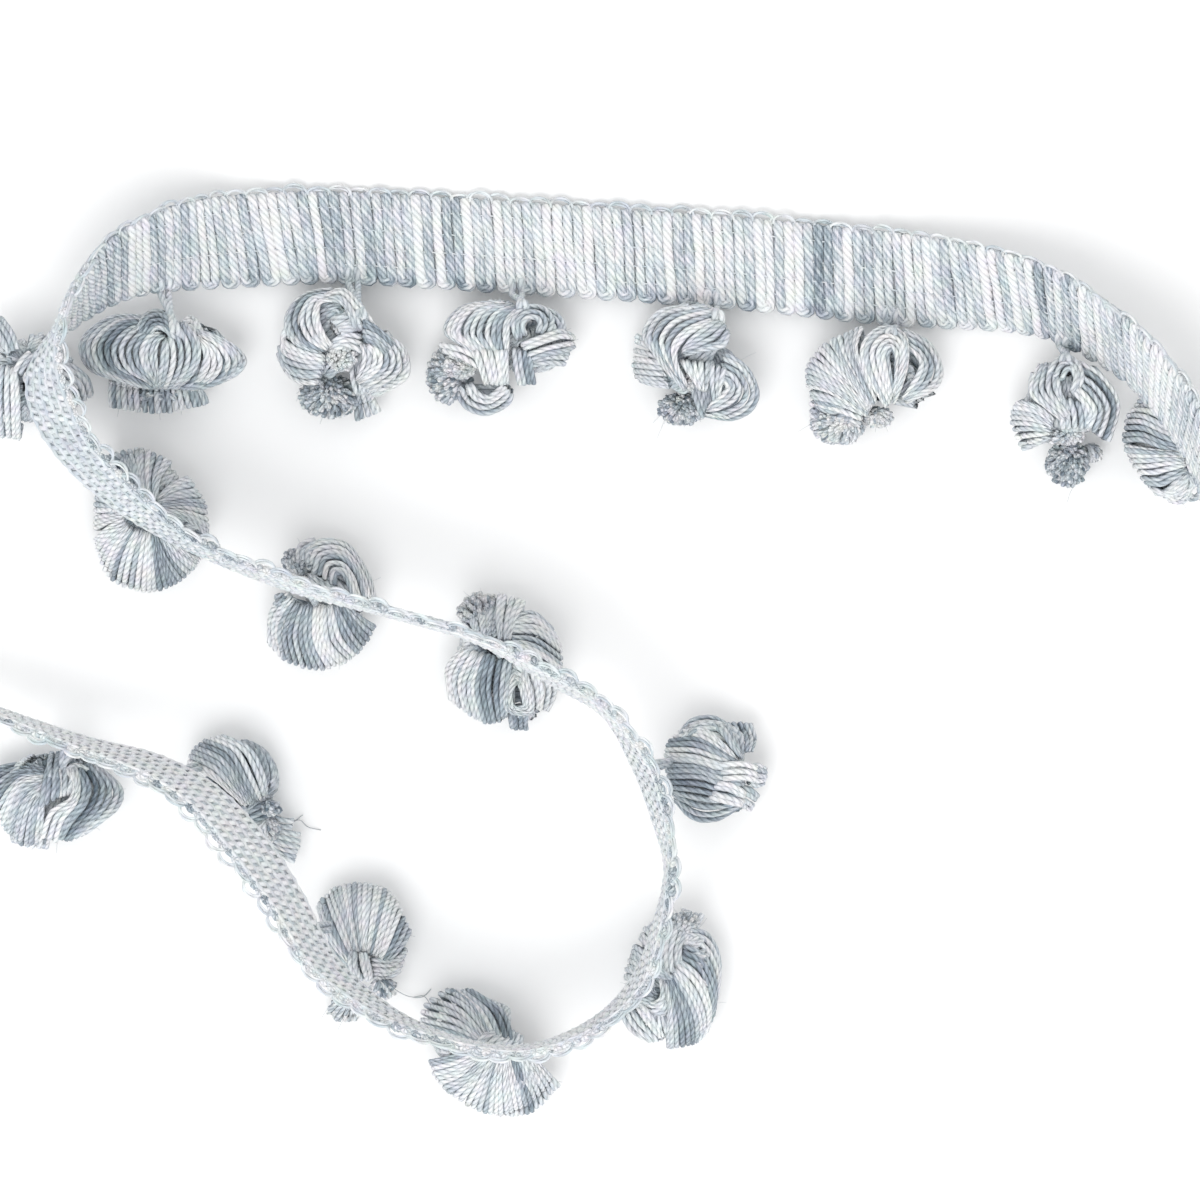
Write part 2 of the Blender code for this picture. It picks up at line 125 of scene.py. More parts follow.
# The yarns that show from above. A row gives the dye of each yarn from 0, palest, to 9, its
# lift above the dome in mm, how it ends, and then the guide lines that the yarns lie between.
SWEEPS = {
    "pompom_01": (
        ("3418627244", 0.0, "tuck",
         ((150, 318), (112, 318), (83, 342), (92, 370), (128, 383), (150, 388)),
         ((167, 337), (160, 342), (157, 354), (158, 366), (160, 378), (161, 388))),
        ("5405443", 0.2, "tuck", ((166, 342), (165, 354), (164, 366), (162, 378), (161, 388)),
         ((184, 322), (198, 340), (200, 358), (193, 374), (178, 388))),
        ("2001343", -0.1, "tuck", ((198, 342), (206, 353), (205, 366), (199, 379), (188, 390)),
         ((196, 330), (228, 342), (245, 360), (234, 376), (204, 389))),
        ("6785", 0.7, "tuck", ((139, 332), (146, 317), (160, 312), (174, 320)),
         ((152, 336), (158, 329), (167, 331), (176, 340))),
        ("11", -1.4, "tuck", ((178, 328), (192, 318), (203, 332), (206, 350)),
         ((180, 334), (190, 327), (197, 337), (200, 350))),
        ("1621107821671016745", -1.4, "cut", ((112, 380), (111, 394), (112, 407)),
         ((160, 382), (160, 396), (162, 413)), ((196, 384), (204, 394), (208, 404))),
    ),
    "pompom_02": (
        ("256310", 0.0, "tuck", ((332, 289), (302, 296), (287, 320), (296, 343), (324, 354)),
         ((338, 302), (322, 304), (319, 320), (325, 336), (334, 347))),
        ("1045321", -0.1, "tuck", ((288, 328), (284, 342), (304, 353), (326, 358)),
         ((280, 352), (288, 364), (306, 370), (324, 370)),
         ((284, 366), (292, 378), (304, 384), (318, 384))),
        ("01243", 0.3, "tuck", ((326, 295), (344, 291), (362, 309), (377, 331)),
         ((330, 301), (343, 304), (351, 316), (358, 330))),
        ("354", -1.6, "tuck", ((326, 314), (336, 307), (346, 315), (352, 328)),
         ((330, 330), (340, 323), (349, 327), (354, 336))),
        ("2132", -0.6, "tuck", ((332, 344), (346, 336), (362, 338)), ((334, 352), (348, 346), (364, 352))),
        ("1206121", 0.0, "tuck", ((362, 344), (366, 356), (364, 368), (358, 380)),
         ((370, 344), (386, 354), (384, 370), (362, 386)),
         ((382, 334), (404, 348), (407, 376), (376, 396))),
        ("7867", 0.5, "tuck", ((364, 322), (380, 331), (396, 346)), ((366, 342), (376, 345), (388, 354))),
        ("6531", -3.0, "cut", ((354, 384), (356, 402), (358, 420)), ((366, 386), (374, 400), (380, 412))),
    ),
    "pompom_03": (
        ("5124352613", 0.1, "tuck",
         ((500, 303), (462, 308), (445, 332), (464, 347), (484, 362), (498, 376)),
         ((521, 308), (510, 320), (508, 336), (508, 350), (507, 362), (506, 376))),
        ("354", 0.4, "tuck", ((517, 340), (513, 322), (524, 309), (542, 309), (552, 322), (546, 336)),
         ((525, 335), (522, 325), (528, 318), (537, 319), (540, 326), (537, 332))),
        ("343", -0.6, "tuck", ((542, 309), (558, 316), (564, 331), (550, 340)),
         ((546, 320), (552, 325), (554, 330), (546, 336))),
        ("21017", 0.2, "tuck", ((522, 346), (542, 338), (560, 332), (573, 336)),
         ((530, 360), (548, 354), (564, 351), (574, 347))),
        ("544", -0.6, "tuck", ((530, 360), (550, 354), (568, 354)), ((530, 367), (546, 363), (564, 364))),
        ("4677", -0.6, "cut", ((514, 350), (516, 367), (520, 385)), ((530, 352), (531, 367), (534, 384))),
        ("01011", 0.7, "tuck", ((474, 352), (480, 366), (486, 384)), ((506, 352), (507, 366), (508, 384))),
        ("1126", -1.0, "tuck", ((472, 384), (478, 393), (489, 397), (498, 391), (504, 384)),
         ((458, 391), (466, 406), (486, 413), (508, 403), (512, 390))),
        ("01", 0.2, "cut", ((480, 360), (462, 351), (441, 346)), ((478, 368), (462, 358), (444, 352))),
    ),
    "pompom_04": (
        ("4451600", 0.1, "tuck", ((704, 306), (662, 312), (645, 334), (654, 354), (668, 373), (684, 390)),
         ((718, 320), (692, 332), (679, 344), (675, 355), (677, 368), (686, 386))),
        ("4354", 0.3, "tuck", ((720, 321), (704, 331), (690, 342), (682, 352)),
         ((728, 334), (722, 346), (706, 350), (684, 356))),
        ("12114", -0.5, "tuck", ((682, 362), (690, 376), (700, 390)),
         ((712, 364), (709, 378), (706, 392))),
        ("1612425", 0.1, "tuck", ((716, 384), (723, 382), (728, 387), (724, 394), (714, 402), (708, 410)),
         ((724, 354), (746, 368), (757, 392), (750, 410), (730, 419), (706, 416))),
        ("343", 0.3, "tuck", ((712, 366), (712, 384), (714, 402)), ((723, 370), (720, 384), (718, 398))),
        ("21212", -1.6, "cut", ((666, 352), (652, 344), (636, 336)), ((666, 370), (650, 368), (633, 366)),
         ((668, 388), (652, 386), (640, 382))),
    ),
    "pompom_05": (
        ("1424104", 0.0, "tuck", ((866, 416), (846, 402), (826, 391), (808, 386)),
         ((868, 410), (846, 390), (822, 374), (808, 366)),
         ((870, 406), (854, 386), (838, 364), (824, 346))),
        ("241531", 0.1, "tuck", ((870, 406), (856, 386), (841, 362), (830, 342)),
         ((874, 402), (864, 376), (855, 350), (860, 329))),
        ("521030", 0.5, "tuck",
         ((892, 394), (888, 370), (886, 357), (890, 350), (894, 357), (894, 370), (893, 394)),
         ((885, 408), (866, 376), (862, 347), (881, 329), (904, 338), (905, 370), (893, 404))),
        ("042431", -0.1, "tuck", ((905, 347), (915, 355), (920, 366), (913, 382), (901, 398)),
         ((904, 331), (928, 344), (940, 368), (934, 388), (906, 403))),
        ("112", -1.2, "tuck", ((862, 412), (838, 400), (811, 393)), ((858, 426), (836, 420), (812, 416))),
        ("2423", -1.4, "tuck", ((902, 366), (912, 372), (900, 394)), ((906, 380), (916, 384), (902, 400))),
    ),
    "pompom_06": (
        ("3124", 0.6, "tuck", ((1048, 376), (1056, 361), (1070, 359), (1080, 373), (1078, 390)),
         ((1060, 380), (1064, 371), (1070, 370), (1074, 380), (1070, 392))),
        ("1435464", 0.0, "tuck", ((1038, 366), (1030, 392), (1044, 408), (1064, 424)),
         ((1057, 364), (1057, 384), (1061, 398), (1072, 410))),
        ("1042512", -0.2, "tuck", ((1052, 420), (1036, 407), (1018, 402)),
         ((1050, 428), (1030, 422), (1011, 420)), ((1048, 438), (1036, 444), (1022, 449))),
        ("15262561", 0.1, "tuck", ((1072, 392), (1082, 402), (1089, 414), (1084, 426)),
         ((1078, 364), (1100, 378), (1116, 405), (1108, 440))),
        ("34543", -0.2, "tuck", ((1056, 398), (1060, 412), (1062, 428)),
         ((1080, 404), (1084, 416), (1084, 428))),
    ),
    "pompom_07": (
        ("4213677", 0.0, "tuck", ((1184, 430), (1170, 414), (1154, 404), (1138, 402)),
         ((1182, 440), (1162, 430), (1142, 420), (1127, 419)),
         ((1181, 450), (1160, 447), (1141, 440), (1123, 440))),
        ("1402154", 0.0, "tuck", ((1181, 453), (1160, 452), (1142, 450), (1124, 447)),
         ((1182, 462), (1164, 462), (1146, 464), (1132, 464)),
         ((1183, 470), (1170, 478), (1158, 484), (1144, 482))),
        ("2132", -0.8, "tuck", ((1184, 474), (1176, 486), (1164, 492), (1150, 488)),
         ((1190, 480), (1188, 494), (1182, 502), (1172, 502))),
        ("45", -1.0, "tuck",
         ((1191, 476), (1184, 484), (1183, 494), (1190, 500), (1198, 497), (1200, 486)),
         ((1193, 478), (1187, 485), (1187, 493), (1192, 497), (1197, 494), (1198, 486))),
    ),
    "pompom_08": (
        ("565", 0.5, "cut", ((12, 354), (4, 338), (-8, 322)), ((20, 350), (14, 334), (2, 318))),
        ("2410", 0.0, "tuck", ((2, 366), (-2, 396), (0, 436)), ((18, 370), (20, 400), (20, 438))),
        ("4210413", 0.0, "tuck", ((50, 360), (72, 366), (88, 378), (93, 394)),
         ((50, 390), (62, 392), (70, 398), (74, 408))),
        ("242", 0.0, "cut", ((18, 372), (24, 362), (32, 354)), ((30, 376), (34, 366), (40, 358))),
    ),
    "pompom_09": (
        ("1213162501378765421", 0.0, "tuck", ((126, 520), (110, 528), (97, 540)),
         ((134, 528), (120, 552), (111, 576)), ((150, 532), (149, 560), (147, 590)),
         ((158, 536), (168, 560), (180, 580)), ((168, 540), (184, 552), (200, 560))),
        ("2113542143", 0.0, "tuck", ((158, 500), (172, 486), (188, 478)),
         ((162, 506), (184, 503), (205, 504)), ((168, 514), (188, 520), (208, 534))),
        ("5542110513", 0.0, "tuck", ((138, 480), (126, 462), (108, 458)),
         ((148, 500), (143, 474), (140, 450)), ((158, 500), (160, 480), (170, 462))),
        ("35121", -0.4, "tuck", ((126, 506), (112, 500), (98, 494)), ((126, 518), (112, 522), (97, 528))),
    ),
    "pompom_10": (
        ("1121676867110111678767", 0.0, "tuck", ((290, 592), (272, 612), (270, 642)),
         ((297, 602), (284, 630), (288, 660)), ((310, 606), (308, 638), (318, 668)),
         ((326, 606), (328, 640), (345, 661)), ((338, 606), (352, 632), (362, 646)),
         ((350, 608), (366, 620), (375, 626))),
        ("101257128", -0.4, "tuck", ((304, 560), (316, 542), (346, 543), (368, 572), (376, 598)),
         ((318, 574), (323, 557), (342, 556), (358, 573), (366, 598)),
         ((336, 584), (337, 574), (345, 575), (350, 585), (354, 598))),
        ("353", -0.2, "tuck", ((300, 562), (301, 547), (314, 540)), ((310, 566), (309, 554), (318, 548))),
    ),
    "pompom_11": (
        ("10112167877", 0.0, "tuck", ((464, 646), (448, 668), (451, 698)),
         ((478, 652), (465, 684), (471, 714)), ((489, 656), (483, 688), (490, 722)),
         ((510, 662), (507, 688), (506, 716))),
        ("121", -0.8, "tuck", ((512, 664), (520, 668), (528, 672)), ((514, 678), (522, 681), (530, 683))),
        ("312", 0.2, "tuck", ((516, 682), (511, 694), (514, 706), (524, 705), (522, 692), (519, 682)),
         ((514, 668), (505, 694), (509, 711), (531, 712), (532, 692), (524, 668))),
        ("21321", -0.2, "tuck", ((528, 666), (536, 686), (538, 708)),
         ((542, 668), (554, 688), (548, 710))),
        ("6401642", 0.0, "tuck", ((512, 620), (532, 613), (552, 630)),
         ((510, 630), (536, 630), (560, 648)), ((512, 644), (534, 650), (560, 668))),
        ("2121", 0.0, "tuck", ((500, 640), (498, 618), (500, 595)), ((510, 640), (516, 618), (524, 602))),
        ("787", -1.6, "cut", ((510, 712), (511, 720), (512, 727)), ((526, 712), (525, 722), (526, 729))),
    ),
    "pompom_12": (
        ("546", 0.4, "tuck", ((680, 735), (690, 722), (708, 717), (724, 724), (734, 742), (741, 754)),
         ((687, 738), (696, 729), (708, 724), (722, 732), (733, 748), (741, 757))),
        ("1118813255887566", 0.0, "tuck", ((736, 758), (722, 743), (706, 731), (684, 728)),
         ((738, 762), (714, 748), (694, 740), (670, 742)),
         ((742, 768), (716, 764), (694, 758), (666, 756)),
         ((742, 782), (718, 780), (698, 774), (668, 774)),
         ((740, 798), (716, 798), (696, 795), (672, 790)),
         ((738, 807), (716, 818), (694, 817), (675, 800))),
        ("010", 0.8, "cut", ((720, 764), (742, 763), (756, 767)), ((722, 778), (742, 777), (754, 779))),
        ("0110", 0.4, "tuck", ((716, 782), (730, 784), (744, 792)), ((710, 796), (726, 801), (740, 804))),
        ("765655", -1.0, "cut", ((724, 724), (732, 740), (737, 754)),
         ((750, 724), (754, 738), (751, 750))),
        ("3433", -1.0, "cut", ((748, 766), (758, 765), (766, 769)), ((748, 782), (757, 785), (764, 783))),
        ("6542", -1.6, "cut", ((740, 786), (750, 789), (758, 796)), ((736, 800), (744, 806), (751, 809))),
    ),
    "pompom_13": (
        ("511781012687654", 0.0, "tuck", ((684, 930), (706, 934), (718, 958), (717, 990)),
         ((682, 950), (702, 962), (713, 990), (712, 1014)),
         ((674, 966), (692, 986), (703, 1012), (703, 1034)),
         ((668, 974), (679, 998), (686, 1020), (688, 1043)),
         ((664, 980), (668, 1002), (668, 1024), (668, 1046))),
        ("21213", -0.2, "tuck", ((664, 978), (662, 950), (668, 922)),
         ((680, 962), (680, 946), (686, 928))),
        ("2121", -0.4, "tuck", ((642, 1004), (652, 1018), (664, 1036)),
         ((624, 1016), (634, 1030), (650, 1040))),
        ("1421", -0.8, "tuck", ((661, 978), (662, 994), (653, 1002), (640, 998)),
         ((668, 1000), (664, 1012), (652, 1016), (638, 1008))),
        ("2131", 0.0, "cut", ((676, 932), (680, 920), (684, 909)), ((688, 934), (696, 924), (702, 914))),
    ),
    "pompom_14": (
        ("6105242710587", 0.0, "tuck", ((484, 1042), (456, 1032), (422, 1024)),
         ((486, 1038), (458, 1014), (426, 1004)), ((490, 1034), (470, 1004), (448, 990)),
         ((494, 1032), (480, 1008), (458, 990)), ((512, 1040), (503, 1012), (472, 990))),
        ("2122", -0.3, "tuck", ((476, 1044), (486, 1033), (498, 1028)),
         ((496, 1048), (504, 1041), (512, 1032))),
        ("4333", -0.6, "tuck", ((502, 1046), (507, 1037), (509, 1029)),
         ((514, 1048), (520, 1043), (521, 1036))),
        ("711053145122183242", 0.0, "tuck", ((480, 1046), (456, 1054), (431, 1060)),
         ((486, 1050), (464, 1074), (443, 1084)), ((494, 1053), (484, 1082), (475, 1106)),
         ((504, 1054), (504, 1086), (506, 1113)), ((514, 1053), (526, 1082), (534, 1108)),
         ((526, 1048), (545, 1068), (558, 1084))),
    ),
    "pompom_15": (
        ("16150432161175", 0.0, "tuck", ((348, 960), (331, 938), (318, 906)),
         ((356, 954), (344, 920), (333, 890)), ((362, 952), (356, 915), (354, 884)),
         ((368, 952), (373, 916), (377, 886)), ((378, 958), (388, 924), (396, 900)),
         ((386, 964), (402, 944), (409, 930))),
        ("3111", -0.2, "tuck", ((372, 958), (392, 960), (406, 950)), ((376, 976), (390, 976), (400, 970))),
        ("2312", 0.7, "tuck", ((352, 950), (351, 964), (358, 977)), ((366, 952), (370, 966), (372, 978))),
    ),
    "pompom_16": (
        ("00546187125", 0.0, "tuck", ((250, 808), (232, 792), (212, 775), (190, 764)),
         ((256, 806), (238, 786), (220, 764), (194, 752)),
         ((261, 804), (247, 780), (231, 752), (206, 741)),
         ((268, 802), (264, 774), (250, 748), (224, 736))),
        ("767", 0.6, "tuck", ((250, 812), (260, 806), (270, 802)), ((254, 820), (266, 816), (280, 810))),
        ("2423", -1.8, "cut", ((264, 826), (284, 832), (300, 835)), ((262, 836), (282, 842), (299, 847))),
        ("232", -2.2, "cut", ((264, 840), (282, 849), (297, 852)), ((262, 846), (280, 856), (294, 861))),
        ("21", -1.2, "cut", ((268, 814), (282, 819), (294, 820)), ((266, 820), (280, 825), (292, 826))),
    ),
    "pompom_17": (
        ("8871135463", 0.0, "tuck", ((48, 768), (20, 763), (-8, 770)), ((48, 773), (20, 775), (-6, 800)),
         ((48, 777), (24, 788), (8, 828)), ((46, 782), (30, 804), (20, 838)),
         ((47, 786), (45, 806), (42, 844))),
        ("6878", 0.3, "tuck", ((49, 768), (47, 786), (44, 806)), ((59, 768), (61, 782), (60, 796))),
        ("142", 0.1, "tuck", ((61, 768), (62, 782), (62, 796)), ((72, 766), (73, 780), (70, 794))),
        ("011", 0.4, "cut", ((66, 766), (76, 782), (72, 799), (54, 812), (45, 836)),
         ((76, 766), (81, 784), (78, 801), (64, 818), (57, 840))),
        ("798975243", 0.0, "cut", ((76, 768), (85, 785), (82, 802), (68, 820), (60, 838)),
         ((90, 764), (104, 784), (99, 805), (83, 824), (72, 838)),
         ((100, 766), (121, 788), (118, 806), (102, 820), (86, 832))),
        ("121", 0.2, "tuck", ((62, 768), (74, 757), (90, 762)), ((66, 774), (76, 765), (90, 770))),
        ("67", 0.8, "cut", ((52, 778), (51, 764), (53, 752)), ((58, 778), (58, 764), (60, 752))),
        ("54653463", -2.0, "cut", ((14, 824), (13, 834), (14, 842)), ((50, 828), (50, 838), (48, 847))),
    ),
}

# Where the doubled yarn of the front pompoms leaves the tape and where it ends
NECK_COLUMNS = ("from_x", "from_y", "to_x", "to_y")
NECKS = {
    "pompom_01": (163, 284, 177, 338),
    "pompom_02": (353, 276, 362, 322),
    "pompom_03": (518, 286, 523, 312),
    "pompom_04": (712, 298, 718, 322),
    "pompom_05": (890, 316, 890, 338),
    "pompom_06": (1062, 346, 1064, 366),
}

# Cut ends below each tie: middle of the brush, its half sizes and how many ends it has
TUFT_COLUMNS = ("x", "y", "z", "half_x", "half_y", "half_z", "ends", "dye")
TUFTS = {
    "pompom_01": ((158, 398, 4.2, 6.0, 1.2, 2.0, 60, 0.4),),
    "pompom_02": ((330, 397, 5.2, 4.2, 3.0, 3.4, 200, 0.4), (343, 358, 11.4, 2.2, 1.9, 1.6, 60, 0.0)),
    "pompom_03": ((447, 376, 5.0, 2.8, 4.0, 3.4, 150, 0.3), (461, 366, 8.4, 2.4, 1.9, 1.6, 70, 0.0)),
    "pompom_04": ((682, 409, 5.0, 3.4, 2.3, 3.2, 140, 0.4), (690, 378, 9.6, 1.6, 1.8, 1.6, 40, 0.0)),
    "pompom_05": ((838, 425, 5.0, 3.8, 2.8, 3.6, 170, 0.1), (878, 418, 6.4, 2.0, 1.4, 2.0, 50, 0.05)),
    "pompom_06": ((1067, 464, 5.4, 3.0, 3.2, 3.6, 180, 0.5), (1092, 454, 3.4, 1.4, 1.2, 1.4, 30, 0.2),
                  (1064, 436, 7.8, 3.0, 1.3, 1.6, 60, 0.0)),
    "pompom_07": ((1157, 454, 1.4, 2.6, 2.6, 1.0, 24, 0.3),),
    "pompom_08": ((28, 378, 1.4, 3.0, 3.0, 1.0, 24, 0.3), (27, 360, 8.0, 1.2, 1.1, 1.6, 24, 0.3)),
    "pompom_09": ((151, 518, 1.4, 3.0, 3.0, 1.0, 24, 0.3),),
    "pompom_10": ((322, 603, 1.4, 3.0, 3.0, 1.0, 24, 0.3), (297, 560, 7.4, 2.0, 1.7, 1.8, 50, 0.3)),
    "pompom_11": ((503, 660, 1.4, 3.0, 3.0, 1.0, 24, 0.3), (482, 612, 7.6, 3.4, 2.7, 3.2, 130, 0.15)),
    "pompom_12": ((730, 806, 4.2, 1.6, 0.9, 1.4, 30, 0.5), (744, 771, 8.2, 1.4, 1.1, 1.6, 30, 0.0)),
    "pompom_13": ((670, 976, 1.4, 2.6, 3.0, 1.0, 24, 0.3), (682, 924, 8.4, 2.4, 1.9, 2.0, 60, 0.12)),
    "pompom_14": ((488, 1049, 1.4, 3.0, 3.0, 1.0, 24, 0.3), (458, 1086, 5.6, 1.7, 1.3, 1.8, 40, 0.25)),
    "pompom_15": ((384, 988, 4.6, 1.8, 1.4, 2.0, 50, 0.35), (345, 1010, 3.0, 2.4, 1.6, 1.6, 40, 0.3)),
    "pompom_16": ((272, 808, 7.0, 1.2, 1.1, 1.1, 20, 0.5), (268, 830, 4.6, 1.8, 1.8, 2.0, 40, 0.2)),
    "pompom_17": ((38, 834, 3.4, 3.6, 1.2, 1.8, 50, 0.35),),
}
FIBRES = {
    "pompom_15": (((396, 990), (408, 996), (422, 997), (431, 989)),),
    "pompom_16": (((290, 822), (300, 820), (308, 827), (321, 830)), ((294, 822), (300, 817), (303, 815))),
    "pompom_14": (((430, 1004), (424, 996), (414, 997)),),
}

# Yarn
YARN_RADIUS = 0.41 * MM
YARN_SPACING = 0.95 * MM
PLY_PITCH = 4.8 * MM
PLY_SWELL = 0.04
TIP_WIDTH = 0.55
TIP_LENGTH = 0.35
TWIST_START = 7.3

# Pompoms. Dyes run from 0, palest, to 1, and a step of a dye digit is DYE_STEP.
SWEEP_PITCH = 5.7
SWEEP_STEPS = 24
DYE_STEP = 0.085
INSIDE_RIM = 0.85
TUCK_DEPTH = 1.6
TUFT_FILL = 1.3
GOLDEN_ANGLE = 2.399963
SEED = 29
FULL_TURN = 6.28

# The core of a pompom, drawn in so that the yarns that show lie over it
CORE_PLAN = 0.88
CORE_TOP = 0.56
# A small darkening added to the dye of the core's yarns: painted shade for the core that lies under the yarns
# that show.
CORE_PAINTED_SHADE = 0.05
CORE_LAYER_COLUMNS = ("reach", "yarns", "sunk", "steps", "sides", "thick")
CORE_LAYERS = (
    (1.0, 1.0, 0.0, 13, 5, 1.05),
    (0.80, 0.5, 0.9 * MM, 9, 4, 1.3),
)


def at_plan(x, y, z_mm):
    """A point of the layout tables in metres."""
    return np.array([(x - PLAN_X0) * UNIT, (PLAN_Y0 - y) * UNIT, z_mm * MM])


def unit(v):
    """The direction of one vector, or of each row."""
    return v / np.maximum(np.linalg.norm(v, axis=-1, keepdims=True), 1e-12)


def phase(rng):
    """A random start for a wave."""
    return rng.uniform(0, FULL_TURN)


class Strands:
    """Collects tubes for one mesh. Each point keeps its dye, and its way round the yarn and
    distance along it in twists, from which the material draws the plies and paints shade in
    the grooves between them and at the yarn's sides."""

    def __init__(self):
        self.verts = []
        self.faces = []
        self.dyes = []
        self.twists = []
        self.count = 0

    def add(self, verts, faces, dye, twist):
        """Adds points, faces that count from 0, and the dye and twist of each point."""
        self.verts.append(verts)
        self.faces += [tuple(i + self.count for i in face) for face in faces]
        self.dyes.append(dye)
        self.twists.append(twist)
        self.count += len(verts)

    def rope(self, line, ref, radius, dye, sides=6, flat=1.0, pitch=PLY_PITCH):
        """A tube along a line. ref is a direction across it, and flat its depth along ref."""
        n = len(line)
        tangent = unit(np.gradient(line, axis=0))
        ref = np.broadcast_to(ref, (n, 3))
        ref = unit(ref - (ref * tangent).sum(axis=1, keepdims=True) * tangent)
        side = np.cross(tangent, ref)
        run = np.concatenate([[0], np.cumsum(np.linalg.norm(np.diff(line, axis=0), axis=1))])
        radius = np.broadcast_to(radius, (n,)) * (1 + PLY_SWELL * np.sin(4 * math.pi * run / pitch))
        angle = 2 * math.pi * np.arange(sides) / sides
        verts = (line[:, None, :] + (radius[:, None] * np.cos(angle))[..., None] * side[:, None, :]
                 + (flat * radius[:, None] * np.sin(angle))[..., None] * ref[:, None, :])
        tip = TIP_LENGTH * radius[[0, -1], None] * tangent[[0, -1]] * np.array([[-1], [1]])
        ends = TIP_WIDTH * (verts[[0, -1]] - line[[0, -1], None]) + line[[0, -1], None] + tip[:, None]
        verts = np.concatenate([ends[:1], verts, ends[1:]]).reshape(-1, 3)
        dye = np.broadcast_to(dye, (n,))
        dye = np.repeat(np.concatenate([dye[:1], dye, dye[-1:]]), sides)
        turns = np.concatenate([run[:1], run, run[-1:]]) / pitch + TWIST_START * line[0, 0] / MM
        twist = np.stack([np.tile(np.cos(angle), n + 2), np.tile(np.sin(angle), n + 2),
                          np.repeat(turns, sides)], axis=1)
        self.add(verts, ring_faces(n + 2, sides), dye, twist)

    def build(self, name, look):
        """One smooth mesh object of all that was added."""
        mesh = bpy.data.meshes.new(name)
        mesh.from_pydata(np.concatenate(self.verts).tolist(), [], self.faces)
        mesh.polygons.foreach_set("use_smooth", [True] * len(mesh.polygons))
        held = mesh.attributes.new("dye", "FLOAT", "POINT")
        held.data.foreach_set("value", np.clip(np.concatenate(self.dyes), -0.5, 1).astype(np.float32))
        held = mesh.attributes.new("twist", "FLOAT_VECTOR", "POINT")
        held.data.foreach_set("vector", np.concatenate(self.twists).astype(np.float32).ravel())
        mesh.materials.append(look)
        piece = bpy.data.objects.new(name, mesh)
        bpy.context.scene.collection.objects.link(piece)
        return piece


RING_FACES = {}


def ring_faces(rings, sides):
    """Faces of a closed tube of rings with a flat cap at each end."""
    if (rings, sides) not in RING_FACES:
        faces = []
        for i in range(rings - 1):
            for k in range(sides):
                n = (k + 1) % sides
                faces.append((i * sides + k, i * sides + n, (i + 1) * sides + n, (i + 1) * sides + k))
        faces.append(tuple(range(sides))[::-1])
        faces.append(tuple((rings - 1) * sides + k for k in range(sides)))
        RING_FACES[rings, sides] = faces
    return RING_FACES[rings, sides]


def curve(controls, count):
    """A smooth line of count points through control points."""
    controls = np.asarray(controls, float)
    ends = np.concatenate([controls[:1], controls, controls[-1:]])
    at = np.linspace(0, len(controls) - 1, count)
    i = np.minimum(at.astype(int), len(controls) - 2)
    t = (at - i)[:, None]
    return between(*(ends[i + k] for k in range(4)), t)


def between(p0, p1, p2, p3, t):
    """A smooth curve's value between p1 and p2."""
    return 0.5 * (2 * p1 + (p2 - p0) * t + (2 * p0 - 5 * p1 + 4 * p2 - p3) * t * t
                  + (3 * p1 - p0 - 3 * p2 + p3) * t * t * t)


# Materials

HUE_DRIFT = 0.16
# Painted shade: how much darker the yarn material makes the side of each yarn away from its given direction.
SIDE_SHADE = 0.20
STREAK_SCALE = 2.6
FIBRE_SCALE = 6500
HUE_SCALE = 420
BUMP_DEPTH = 0.0002
PLY_ROUNDING = 0.7
SHADER_VALUES = {"Roughness": 0.85, "Specular IOR Level": 0.2, "Sheen Weight": 0.2, "Sheen Roughness": 0.5}
YARN_COLOURS = (
    (0.0, (0.82, 0.83, 0.84)),
    (0.30, (0.66, 0.70, 0.73)),
    (0.62, (0.40, 0.46, 0.51)),
    (1.0, (0.13, 0.17, 0.21)),
)
PALE_COLOURS = (
    (0.0, (0.80, 0.82, 0.83)),
    (1.0, (0.54, 0.60, 0.64)),
)


def calc(tree, kind, *values, node_type="ShaderNodeMath"):
    """A math node whose inputs are numbers or sockets."""
    node = tree.nodes.new(node_type)
    node.operation = kind
    for socket, value in zip(node.inputs, values):
        if isinstance(value, bpy.types.NodeSocket):
            tree.links.new(value, socket)
        else:
            socket.default_value = value
    return node.outputs[0]


def attribute(tree, name):
    """A node that reads a point attribute."""
    node = tree.nodes.new("ShaderNodeAttribute")
    node.attribute_name = name
    return node


def noise(tree, place, scale, detail):
    """A noise texture at the places that a socket gives."""
    node = tree.nodes.new("ShaderNodeTexNoise")
    node.inputs["Scale"].default_value = scale
    node.inputs["Detail"].default_value = detail
    tree.links.new(place, node.inputs["Vector"])
    return node


